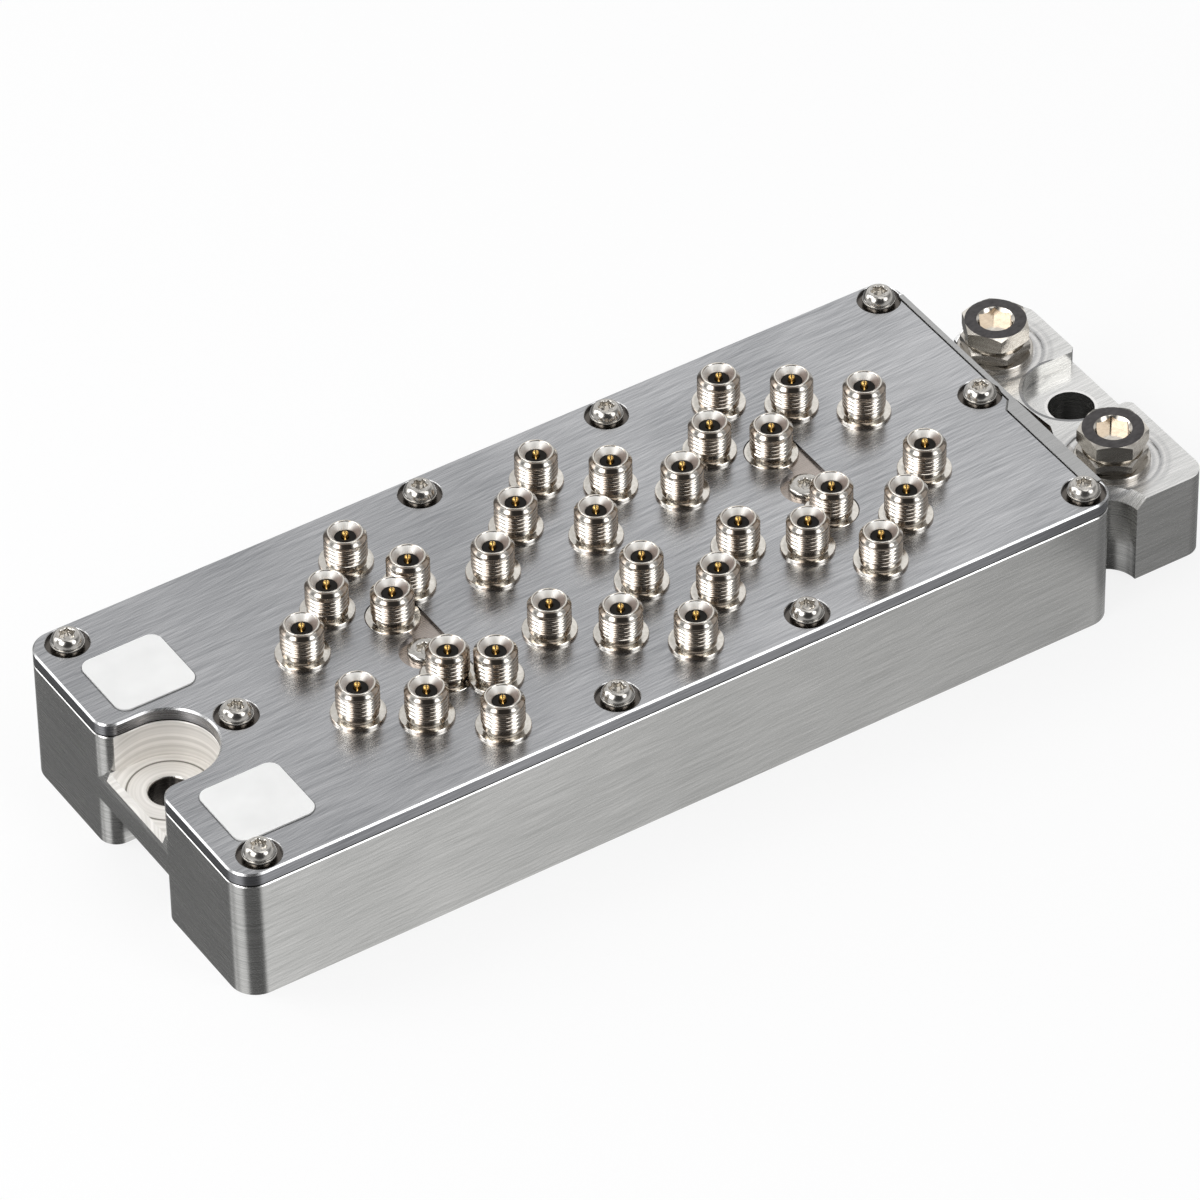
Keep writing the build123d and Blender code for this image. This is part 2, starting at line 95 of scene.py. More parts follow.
def separate_solids(node):
    """Vertex positions of each separate solid of a node, in millimetres."""
    mesh = merged_mesh(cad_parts[node].data)
    left = set(mesh.verts)
    groups = []
    while left:
        seed = left.pop()
        group, edge = [seed], [seed]
        while edge:
            vertex = edge.pop()
            for link in vertex.link_edges:
                other = link.other_vert(vertex)
                if other in left:
                    left.discard(other)
                    group.append(other)
                    edge.append(other)
        groups.append([vertex.co / MM for vertex in group])
    mesh.free()
    return groups


def axis_places(node):
    """Axis and height range of each turned solid of a node, taken from its uppermost ring."""
    found = []
    for points in separate_solids(node):
        top = max(point.z for point in points)
        low = min(point.z for point in points)
        ring = [point for point in points if point.z > top - 0.01]
        middle_x = (max(point.x for point in ring) + min(point.x for point in ring)) / 2
        middle_y = (max(point.y for point in ring) + min(point.y for point in ring)) / 2
        found.append((middle_x, middle_y, low, top))
    return sorted(found)


def node_middle(node):
    """Plan centre, bottom and top of a node, in millimetres."""
    low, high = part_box(node)
    return ((low.x + high.x) / 2 / MM, (low.y + high.y) / 2 / MM, low.z / MM, high.z / MM)


# Building meshes from rings


def round_ring(radius, z):
    """A plain circle at height z."""
    return lambda angle: (radius, z)


def lobed_ring(radius, lobe, z):
    """A six-lobed outline, for the screws' sockets."""
    return lambda angle: (radius + lobe * math.cos(6 * angle), z)


def hex_radius(flats, angle):
    """Distance from the axis to the side of a hexagon, with corners at multiples of 60 degrees."""
    turn = math.radians(60)
    return flats / 2 / math.cos((angle % turn) - turn / 2)


def hex_under_cone(flats, flats_radius, z, slope):
    """A hexagon whose corners are turned down, or up where the slope is negative, from a round face."""
    fall = math.tan(math.radians(slope))

    def point(angle):
        radius = hex_radius(flats, angle)
        return radius, z - max(radius - flats_radius, 0) * fall

    return point


def bridge(mesh, loops):
    """Quads between each loop of vertices and the next."""
    for lower, upper in zip(loops, loops[1:]):
        for step, corner in enumerate(lower):
            after = (step + 1) % len(lower)
            mesh.faces.new((corner, lower[after], upper[after], upper[step]))


def loft(name, rings, segments, sharp=28.0, tube=False):
    """A mesh through the rings, in millimetres, with capped ends, or closed on itself as a tube.

    Edges sharper than the limit, in degrees, are marked.
    """
    mesh = bmesh.new()
    loops = []
    for ring in rings:
        loop = []
        for step in range(segments):
            angle = 2 * math.pi * step / segments
            radius, z = ring(angle)
            spot = (radius * math.cos(angle) * MM, radius * math.sin(angle) * MM, z * MM)
            loop.append(mesh.verts.new(spot))
        loops.append(loop)
    bridge(mesh, loops)
    if tube:
        bridge(mesh, (loops[-1], loops[0]))
    else:
        mesh.faces.new(tuple(reversed(loops[0])))
        mesh.faces.new(tuple(loops[-1]))
    return object_from(mesh, name, sharp)


def turned(name, profile, segments, sharp=28.0, tube=False):
    """A loft through plain circles, given as (radius, height) pairs."""
    return loft(name, [round_ring(radius, z) for radius, z in profile], segments, sharp, tube)


def object_from(mesh, name, sharp=28.0):
    """An object with the mesh, shaded smooth apart from its sharp edges."""
    bmesh.ops.recalc_face_normals(mesh, faces=mesh.faces)
    limit = math.radians(sharp)
    for face in mesh.faces:
        face.smooth = True
    for edge in mesh.edges:
        edge.smooth = len(edge.link_faces) == 2 and edge.calc_face_angle(0) < limit
    data = bpy.data.meshes.new(name)
    mesh.to_mesh(data)
    mesh.free()
    piece = bpy.data.objects.new(name, data)
    bpy.context.scene.collection.objects.link(piece)
    return piece


def apply_modifiers(piece):
    """Makes the piece's modifiers part of its mesh."""
    evaluated = piece.evaluated_get(bpy.context.evaluated_depsgraph_get())
    data = bpy.data.meshes.new_from_object(evaluated)
    piece.modifiers.clear()
    piece.data = data


def flatten_shading(piece):
    """Lets large flat faces keep their own direction where they run into rounded corners."""
    modifier = piece.modifiers.new("flat", "WEIGHTED_NORMAL")
    modifier.mode = "FACE_AREA"
    modifier.weight = 50
    modifier.keep_sharp = True
    apply_modifiers(piece)


def outline_with_arcs(corners):
    """Plan points of a closed outline whose corners (x, y, radius) are rounded."""
    points = []
    count = len(corners)
    for index, (x, y, radius) in enumerate(corners):
        here = Vector((x, y))
        if radius <= 0:
            points.append(here)
            continue
        before = (Vector(corners[index - 1][:2]) - here).normalized()
        after = (Vector(corners[(index + 1) % count][:2]) - here).normalized()
        half = math.acos(max(-1.0, min(1.0, before.dot(after)))) / 2
        centre = here + (before + after).normalized() * (radius / math.sin(half))
        start = here + before * (radius / math.tan(half)) - centre
        sweep = math.pi - 2 * half
        turn = before.cross(after)
        steps = max(2, math.ceil(math.degrees(sweep) / 6.0))
        for step in range(steps + 1):
            angle = sweep * step / steps * (-1 if turn > 0 else 1)
            points.append(centre + Matrix.Rotation(angle, 2) @ start)
    return points


def inset(points, amount):
    """The closed outline moved inwards by the amount."""
    count = len(points)
    area = sum(points[i - 1].cross(points[i]) for i in range(count))
    side = 1 if area > 0 else -1
    moved = []
    for index, here in enumerate(points):
        before = (here - points[index - 1]).normalized()
        after = (points[(index + 1) % count] - here).normalized()
        first = Vector((-before.y, before.x)) * side
        second = Vector((-after.y, after.x)) * side
        middle = (first + second).normalized()
        moved.append(here + middle * (amount / max(0.3, middle.dot(first))))
    return moved


def prism(points, bottom, top, edge=0.0):
    """A bmesh prism on plan points, in millimetres, whose upper edge may be chamfered."""
    mesh = bmesh.new()
    levels = [(points, bottom), (points, top - edge)]
    if edge:
        levels.append((inset(points, edge), top))
    loops = []
    for outline, z in levels:
        loops.append([mesh.verts.new((point.x * MM, point.y * MM, z * MM)) for point in outline])
    bridge(mesh, loops)
    mesh.faces.new(tuple(reversed(loops[0])))
    mesh.faces.new(tuple(loops[-1]))
    return mesh


def cut_away(piece, cutter):
    """Takes the cutter's volume out of the piece, and removes the cutter."""
    modifier = piece.modifiers.new("cut", "BOOLEAN")
    modifier.operation = "DIFFERENCE"
    modifier.solver = "EXACT"
    modifier.object = cutter
    apply_modifiers(piece)
    bpy.data.objects.remove(cutter)


# Geometry Nodes trees


def set_inputs(node, **values):
    """Writes values into the inputs of the same names, with spaces for underscores."""
    for key, value in values.items():
        node.inputs[key.replace("_", " ")].default_value = value


class Tree:
    """A small hand for building node trees. Its values are sockets or plain numbers."""

    def __init__(self, tree):
        self.tree = tree

    def node(self, kind, label="", **values):
        """A new node with its settings."""
        made = self.tree.nodes.new(kind)
        made.label = label
        for name, value in values.items():
            setattr(made, name, value)
        return made

    def link(self, source, target):
        """Joins an output to an input."""
        self.tree.links.new(source, target)

    def feed(self, value, target):
        """Links a socket, or writes a number."""
        if isinstance(value, (int, float)):
            target.default_value = value
        else:
            self.link(value, target)

    def math(self, operation, *values, label=""):
        """A Math node on the values; returns its result socket."""
        made = self.node("ShaderNodeMath", label, operation=operation)
        for value, target in zip(values, made.inputs):
            self.feed(value, target)
        return made.outputs[0]

    def plus(self, first, second, label=""):
        """The sum of two values."""
        return self.math("ADD", first, second, label=label)

    def minus(self, first, second, label=""):
        """The first value less the second."""
        return self.math("SUBTRACT", first, second, label=label)

    def times(self, first, *others, label=""):
        """The product of the values."""
        for other in others:
            first = self.math("MULTIPLY", first, other, label=label)
        return first

    def over(self, value, limit):
        """1 where the value is over the limit, or else 0."""
        return self.math("GREATER_THAN", value, limit)

    def under(self, value, limit):
        """1 where the value is under the limit, or else 0."""
        return self.math("LESS_THAN", value, limit)

    def squares(self, first, second):
        """The sum of both squares."""
        return self.plus(self.times(first, first), self.times(second, second))

    def split(self, vector, label="parts"):
        """The x, y and z of a vector."""
        made = self.node("ShaderNodeSeparateXYZ", label)
        self.link(vector, made.inputs[0])
        return tuple(made.outputs)

    def join(self, label, *values):
        """A vector from its first parts; the others are 0."""
        made = self.node("ShaderNodeCombineXYZ", label)
        for value, target in zip(values, made.inputs):
            self.feed(value, target)
        return made.outputs[0]

    def noise(self, label, vector, scale, detail, roughness=0.5, dimensions="2D"):
        """A noise texture's value."""
        made = self.node("ShaderNodeTexNoise", label, noise_dimensions=dimensions)
        self.link(vector, made.inputs["Vector"])
        self.feed(scale, made.inputs["Scale"])
        set_inputs(made, Detail=detail, Roughness=roughness)
        return made.outputs[0]

    def remap(self, value, low, high, to_low=0.0, to_high=1.0, smooth=False):
        """A value stretched from one range to another, and clamped."""
        made = self.node("ShaderNodeMapRange")
        if smooth:
            made.interpolation_type = "SMOOTHSTEP"
        self.link(value, made.inputs["Value"])
        set_inputs(made, From_Min=low, From_Max=high, To_Min=to_low, To_Max=to_high)
        return made.outputs[0]

    def distance(self, x, y, centre_x, centre_y):
        """Plan distance from an upright axis."""
        return self.math("SQRT", self.squares(self.minus(x, centre_x), self.minus(y, centre_y)))

    def blend(self, share, first, second, way="MIX"):
        """A colour between two, by a share."""
        made = self.node("ShaderNodeMix", data_type="RGBA", blend_type=way)
        colours = [socket for socket in made.inputs if socket.type == "RGBA"]
        for target, value in zip(colours, (first, second)):
            if isinstance(value, tuple):
                target.default_value = (*value, 1.0)
            else:
                self.link(value, target)
        factors = [socket for socket in made.inputs if socket.name == "Factor" and socket.type == "VALUE"]
        self.feed(share, factors[0])
        return [socket for socket in made.outputs if socket.type == "RGBA"][0]

    def spot(self, where):
        """The Object coordinates in millimetres."""
        made = self.node("ShaderNodeVectorMath", "in millimetres", operation="SCALE")
        set_inputs(made, Scale=1 / MM)
        self.link(where.outputs["Object"], made.inputs[0])
        return made.outputs[0]

    def hairlines(self, **values):
        """The group of fine lines with its own values."""
        made = self.node("ShaderNodeGroup")
        made.node_tree = hairline_group()
        set_inputs(made, **values)
        return made

    def bump(self, shader, height, depth, strength=0.35):
        """Feeds a height into the shader's normal; the depth is in millimetres."""
        made = self.node("ShaderNodeBump")
        set_inputs(made, Strength=strength, Distance=depth * MM)
        self.link(height, made.inputs["Height"])
        self.link(made.outputs[0], shader.inputs["Normal"])

    def mix_shaders(self, share, first, second):
        """A blend of two shader nodes, by a share."""
        made = self.node("ShaderNodeMixShader")
        for source, target in zip((share, first.outputs[0], second.outputs[0]), made.inputs):
            self.link(source, target)
        return made


def begin_tree(name, inputs):
    """A Geometry Nodes tree with the named inputs, a hand on it, its input node and the form."""
    tree = bpy.data.node_groups.new(name, "GeometryNodeTree")
    tree.interface.new_socket("Geometry", in_out="INPUT", socket_type="NodeSocketGeometry")
    for label, kind, value in inputs:
        socket = tree.interface.new_socket(label, in_out="INPUT", socket_type=kind)
        if value is not None:
            socket.default_value = value
    tree.interface.new_socket("Geometry", in_out="OUTPUT", socket_type="NodeSocketGeometry")
    hand = Tree(tree)
    entry = hand.node("NodeGroupInput")
    form = hand.node("GeometryNodeObjectInfo", "form")
    hand.link(entry.outputs["Form"], form.inputs["Object"])
    return tree, hand, entry, form.outputs["Geometry"]


def end_tree(hand, entry, form):
    """Stands the form on each place with its own turn, realizes it and sets its finish."""
    turn = hand.node("FunctionNodeRandomValue", "turn", data_type="FLOAT")
    floats = [socket for socket in turn.inputs if socket.type == "VALUE" and socket.enabled]
    spread = entry.outputs["Turn spread"]
    hand.link(hand.times(spread, -1.0), floats[0])
    hand.link(spread, floats[1])
    hand.link(entry.outputs["Turn seed"], turn.inputs["Seed"])
    total = hand.plus(entry.outputs["First turn"], turn.outputs[1])
    stand = hand.node("GeometryNodeInstanceOnPoints", "stand on places")
    hand.link(entry.outputs["Geometry"], stand.inputs["Points"])
    hand.link(form, stand.inputs["Instance"])
    hand.link(hand.join("about the axis", 0.0, 0.0, total), stand.inputs["Rotation"])
    realize = hand.node("GeometryNodeRealizeInstances", "realize")
    hand.link(stand.outputs[0], realize.inputs[0])
    finish = hand.node("GeometryNodeSetMaterial", "finish")
    hand.link(realize.outputs[0], finish.inputs["Geometry"])
    hand.link(entry.outputs["Finish"], finish.inputs["Material"])
    leave = hand.node("NodeGroupOutput")
    hand.link(finish.outputs[0], leave.inputs[0])


STANDING_INPUTS = [
    ("Form", "NodeSocketObject", None),
    ("First turn", "NodeSocketFloat", 0.0),
    ("Turn spread", "NodeSocketFloat", 0.0),
    ("Turn seed", "NodeSocketInt", 4),
    ("Finish", "NodeSocketMaterial", None),
]


def standing_tree():
    """Tree that stands one turned form on each place of a set of points."""
    name = "stand_on_places"
    if name in bpy.data.node_groups:
        return bpy.data.node_groups[name]
    tree, hand, entry, form = begin_tree(name, STANDING_INPUTS)
    end_tree(hand, entry, form)
    return tree


def threaded_tree():
    """Tree that cuts a helical thread in the form's wall, then stands it on each place."""
    name = "thread_and_stand"
    if name in bpy.data.node_groups:
        return bpy.data.node_groups[name]
    sizes = [
        ("Thread depth", "NodeSocketFloat", 0.0004),
        ("Thread pitch", "NodeSocketFloat", 0.0007),
        ("Thread bottom", "NodeSocketFloat", 0.0015),
        ("Thread top", "NodeSocketFloat", 0.0048),
        ("Thread inner radius", "NodeSocketFloat", 0.003),
    ]
    tree, hand, entry, form = begin_tree(name, STANDING_INPUTS + sizes)
    position = hand.node("GeometryNodeInputPosition")
    x, y, z = hand.split(position.outputs[0])
    pitch = entry.outputs["Thread pitch"]
    radius = hand.math("SQRT", hand.squares(x, y), label="radius")
    outside = hand.over(radius, entry.outputs["Thread inner radius"])
    above = hand.minus(z, entry.outputs["Thread bottom"])
    below = hand.minus(entry.outputs["Thread top"], z)
    # The groove fades in over a third of a pitch at both ends
    fade = hand.node("ShaderNodeClamp", "fade")
    nearest = hand.math("MINIMUM", above, below)
    hand.link(hand.math("DIVIDE", nearest, hand.times(pitch, 0.33)), fade.inputs[0])
    # Saw over one pitch that climbs with the angle
    angle = hand.math("DIVIDE", hand.math("ARCTAN2", y, x), 2 * math.pi)
    climb = hand.minus(hand.math("DIVIDE", z, pitch), angle)
    wave = hand.math("PINGPONG", climb, 0.5, label="flank")
    # Crest and root keep a narrow flat
    flank = hand.node("ShaderNodeClamp", "crest and root")
    hand.link(hand.minus(hand.times(wave, 2.6), 0.15), flank.inputs[0])
    depth = hand.times(flank.outputs[0], entry.outputs["Thread depth"], fade.outputs[0], outside)
    share = hand.math("DIVIDE", hand.times(depth, -1.0), hand.math("MAXIMUM", radius, 1e-6))
    cut = hand.node("GeometryNodeSetPosition", "cut the thread")
    hand.link(form, cut.inputs["Geometry"])
    hand.link(hand.join("inwards", hand.times(x, share), hand.times(y, share)), cut.inputs["Offset"])
    end_tree(hand, entry, cut.outputs[0])
    return tree


def stand(name, tree, places, form, finish, **values):
    """Runs a tree on the places and returns the result as a plain mesh object."""
    data = bpy.data.meshes.new(name)
    data.from_pydata([(x * MM, y * MM, z * MM) for x, y, z in places], [], [])
    piece = bpy.data.objects.new(name, data)
    bpy.context.scene.collection.objects.link(piece)
    modifier = piece.modifiers.new("repeat", "NODES")
    modifier.node_group = tree
    settings = {"Form": form, "Finish": finish}
    settings.update({key.replace("_", " "): value for key, value in values.items()})
    for item in tree.interface.items_tree:
        if item.in_out == "INPUT" and item.name in settings:
            modifier[item.identifier] = settings[item.name]
    bpy.context.view_layer.update()
    apply_modifiers(piece)
    piece.data.name = name
    if not piece.data.materials:
        piece.data.materials.append(finish)
    bpy.data.objects.remove(form)
    return piece


# Finishes


def shader_group(name, inputs, outputs):
    """A new shader node group with the named number inputs and outputs."""
    group = bpy.data.node_groups.new(name, "ShaderNodeTree")
    for label, value in inputs:
        socket = group.interface.new_socket(label, in_out="INPUT", socket_type="NodeSocketFloat")
        socket.default_value = value
    for label in outputs:
        group.interface.new_socket(label, in_out="OUTPUT", socket_type="NodeSocketFloat")
    return group


def hairline_group():
    """Fine lines that lie along each face: along the body on level faces, level on upright ones.

    It puts out the lines, a finer set, a broad cloud and a mask of the level faces.
    """
    name = "hairlines"
    if name in bpy.data.node_groups:
        return bpy.data.node_groups[name]
    inputs = [("Across per mm", 2.4), ("Along per mm", 0.2), ("Cloud per mm", 0.04), ("Wander mm", 0.5)]
    group = shader_group(name, inputs, ["Lines", "Fine", "Cloud", "Level"])
    hand = Tree(group)
    entry = hand.node("NodeGroupInput")
    leave = hand.node("NodeGroupOutput")
    where = hand.node("ShaderNodeTexCoord")
    spot = hand.spot(where)
    x, y, z = hand.split(spot)
    level = hand.over(hand.math("ABSOLUTE", hand.split(where.outputs["Normal"], "normal")[2]), 0.6)
    upright = hand.minus(1.0, level)
    along = hand.plus(x, hand.times(upright, y), label="along")
    across = hand.plus(hand.times(upright, z), hand.times(level, y), label="across")
    drift = hand.noise("drift", hand.join("face", along, across), 0.09, 2.0)
    wandered = hand.plus(across, hand.times(hand.minus(drift, 0.5), entry.outputs["Wander mm"]))

    def stretched(label, lengthways, sideways):
        """A vector stretched along the face's lines."""
        lengthways = hand.times(lengthways, entry.outputs["Along per mm"])
        return hand.join(label, lengthways, hand.times(sideways, entry.outputs["Across per mm"]))

    straight = stretched("stretched", along, wandered)
    aslant = hand.plus(hand.times(along, 0.98), hand.times(wandered, 0.2))
    athwart = hand.minus(hand.times(wandered, 0.98), hand.times(along, 0.2))
    lines = hand.noise("lines", straight, 1.0, 3.0, 0.62)
    cross = hand.noise("cross lines", stretched("crossed", aslant, athwart), 1.3, 3.0, 0.62)
    cloud = hand.noise("cloud", spot, entry.outputs["Cloud per mm"], 2.0, dimensions="3D")
    hand.link(hand.plus(hand.times(lines, 0.6), hand.times(cross, 0.4)), leave.inputs["Lines"])
    hand.link(hand.noise("fine", straight, 2.6, 2.0), leave.inputs["Fine"])
    hand.link(cloud, leave.inputs["Cloud"])
    hand.link(level, leave.inputs["Level"])
    return group


def principled(name, **values):
    """A new material, a hand on its tree, its shader with the values as inputs, and its coordinates."""
    material = bpy.data.materials.new(name)
    material.use_nodes = True
    hand = Tree(material.node_tree)
    shader = material.node_tree.nodes["Principled BSDF"]
    set_inputs(shader, **values)
    return material, hand, shader, hand.node("ShaderNodeTexCoord")


def brushed_metal(name, dark, light, roughness, upright):
    """Brushed metal with hairlines along each face; its upright faces are darkened by a painted shade."""
    material, hand, shader, where = principled(name, Metallic=1.0)
    lines = hand.hairlines(Across_per_mm=3.0, Along_per_mm=0.07)
    streak = hand.remap(lines.outputs["Lines"], 0.34, 0.66)
    cloud = hand.remap(lines.outputs["Cloud"], 0.35, 0.65)
    share = hand.plus(hand.times(streak, 0.72), hand.times(cloud, 0.28))
    # Painted shade: the upright faces take a darker tint than the level ones
    upright_shade = hand.blend(lines.outputs["Level"], upright, (1.0, 1.0, 1.0))
    colour = hand.blend(1.0, hand.blend(share, dark, light), upright_shade, "MULTIPLY")
    rough = hand.remap(lines.outputs["Fine"], 0.3, 0.7, roughness - 0.05, roughness + 0.07)
    hand.bump(shader, lines.outputs["Lines"], 0.008)
    return material, hand, shader, where, lines, colour, rough


def painted_reflection_bands(hand, where):
    """Five soft painted reflection bands up a turned wall, the dark and bright sides that polished metal
    shows; 1 is dark.
    """
    first_azimuth = math.radians(236.0)
    x, y, _ = hand.split(where.outputs["Normal"], "normal")
    wave = hand.math("COSINE", hand.times(hand.minus(hand.math("ARCTAN2", y, x), first_azimuth), 5.0))
    soft = hand.remap(wave, -0.8, 0.1, smooth=True)
    return hand.times(soft, hand.remap(hand.squares(x, y), 0.15, 0.45, smooth=True))


def turned_metal(name, dark, light, roughness, depth=0.01, reflection_band=None):
    """Turned or plated metal with a faint uneven sheen, and dark painted reflection bands up its walls if
    asked for.
    """
    material, hand, shader, where = principled(name, Metallic=1.0)
    lines = hand.hairlines(Across_per_mm=1.2, Along_per_mm=1.2, Cloud_per_mm=0.3)
    share = hand.remap(lines.outputs["Lines"], 0.3, 0.7)
    colour = hand.blend(share, dark, light)
    if reflection_band:
        # Painted reflection: dark bands up the wall, set by the way it faces
        colour = hand.blend(painted_reflection_bands(hand, where), colour, reflection_band)
    hand.link(colour, shader.inputs["Base Color"])
    rough = hand.remap(lines.outputs["Cloud"], 0.3, 0.7, roughness - 0.03, roughness + 0.04)
    hand.link(rough, shader.inputs["Roughness"])
    hand.bump(shader, lines.outputs["Fine"], depth, 0.2)
    return material


def dished_metal(name):
    """Satin inside of a dished mouth, pale behind, with painted shade by the way its wall faces: brown to the
    right and duller to the left.
    """
    material, hand, shader, where = principled(name, Metallic=0.4, Roughness=0.45)
    x, y, _ = hand.split(where.outputs["Normal"], "normal")
    aim = math.radians(152)
    left = hand.plus(hand.times(x, math.cos(aim)), hand.times(y, math.sin(aim)))
    # Painted shade: brown where the wall faces one side, duller where it faces the other
    painted_brown_shade = hand.remap(left, 0.25, 0.68, 0.0, 0.92, smooth=True)
    painted_dull_shade = hand.remap(left, -0.3, -0.7, 0.0, 0.6, smooth=True)
    colour = hand.blend(painted_brown_shade, linear(0.95, 0.94, 0.92), linear(0.44, 0.37, 0.33))
    colour = hand.blend(painted_dull_shade, colour, linear(0.62, 0.57, 0.53))
    hand.link(colour, shader.inputs["Base Color"])
    return material


def plain_finish(name, dark, light, roughness, specular=0.5):
    """Paint, paper, plastic or ceramic with a fine speckle."""
    material, hand, shader, _ = principled(name, Roughness=roughness, Specular_IOR_Level=specular)
    lines = hand.hairlines(Across_per_mm=2.0, Along_per_mm=2.0, Cloud_per_mm=0.2)
    share = hand.remap(lines.outputs["Cloud"], 0.3, 0.7)
    hand.link(hand.blend(share, dark, light), shader.inputs["Base Color"])
    hand.bump(shader, lines.outputs["Fine"], 0.02, 0.3)
    return material


def linear(red, green, blue):
    """A colour written as it looks on a screen, for a shader."""
    return tuple(((v + 0.055) / 1.055) ** 2.4 if v > 0.04 else v / 12.92 for v in (red, green, blue))


def set_finishes(piece, *finishes):
    """The piece's material slots, replaced by the finishes."""
    piece.data.materials.clear()
    for finish in finishes:
        piece.data.materials.append(finish)


# Sizes and colours that a user would change


class FilterBlockSizes(bpy.types.PropertyGroup):
    """Sizes of the lid and the housing's edge."""

    corner: bpy.props.FloatProperty(
        name="Corner radius",
        description="Rounding of the block's upright corners",
        default=4.0 * MM,
        unit="LENGTH",
    )
    edge: bpy.props.FloatProperty(
        name="Edge break", description="Chamfer along the lid's top edge", default=0.25 * MM, unit="LENGTH"
    )
    seat_radius: bpy.props.FloatProperty(
        name="Seat radius",
        description="Radius of the counterbores round the screw heads",
        default=3.25 * MM,
        unit="LENGTH",
    )
    seat_depth: bpy.props.FloatProperty(
        name="Seat depth", description="Depth of the counterbores in the lid", default=0.6 * MM, unit="LENGTH"
    )
    recess_depth: bpy.props.FloatProperty(
        name="Recess depth",
        description="Depth of the two recesses between jacks",
        default=0.5 * MM,
        unit="LENGTH",
    )


class JackSizes(bpy.types.PropertyGroup):
    """Sizes of the threaded jacks."""

    foot_radius: bpy.props.FloatProperty(
        name="Foot radius",
        description="Radius of the flange under each jack",
        default=4.0 * MM,
        unit="LENGTH",
    )
    thread_radius: bpy.props.FloatProperty(
        name="Thread radius",
        description="Outer radius of the jack's thread",
        default=3.175 * MM,
        unit="LENGTH",
    )
    thread_pitch: bpy.props.FloatProperty(
        name="Thread pitch", description="Climb of the thread in one turn", default=0.7056 * MM, unit="LENGTH"
    )
    thread_depth: bpy.props.FloatProperty(
        name="Thread depth", description="Depth of the thread's groove", default=0.40 * MM, unit="LENGTH"
    )
    mouth_radius: bpy.props.FloatProperty(
        name="Mouth radius",
        description="Radius of the dished rim round the jack's opening",
        default=2.43 * MM,
        unit="LENGTH",
    )
    turn_seed: bpy.props.IntProperty(
        name="Turn seed", description="Seed of the jacks' random turns", default=11
    )


class ScrewSizes(bpy.types.PropertyGroup):
    """Sizes of the lid's screws."""

    head_radius: bpy.props.FloatProperty(
        name="Head radius", description="Widest radius of the screw heads", default=2.5 * MM, unit="LENGTH"
    )
    socket_radius: bpy.props.FloatProperty(
        name="Socket radius",
        description="Mean radius of the six-lobed socket",
        default=1.12 * MM,
        unit="LENGTH",
    )
    turn_seed: bpy.props.IntProperty(
        name="Turn seed", description="Seed of the screws' random turns", default=5
    )


class PlugSizes(bpy.types.PropertyGroup):
    """Sizes of the port plugs."""

    hex_flats: bpy.props.FloatProperty(
        name="Hexagon", description="Size across the flats of plug and nut", default=9.2 * MM, unit="LENGTH"
    )
    key_flats: bpy.props.FloatProperty(
        name="Key socket",
        description="Size across the flats of the key socket",
        default=4.7 * MM,
        unit="LENGTH",
    )


class StageSizes(bpy.types.PropertyGroup):
    """Floor and background."""

    floor_colour: bpy.props.FloatVectorProperty(
        name="Floor colour",
        description="Colour of the floor",
        default=(0.93, 0.93, 0.93),
        subtype="COLOR",
        size=3,
    )


# Pieces


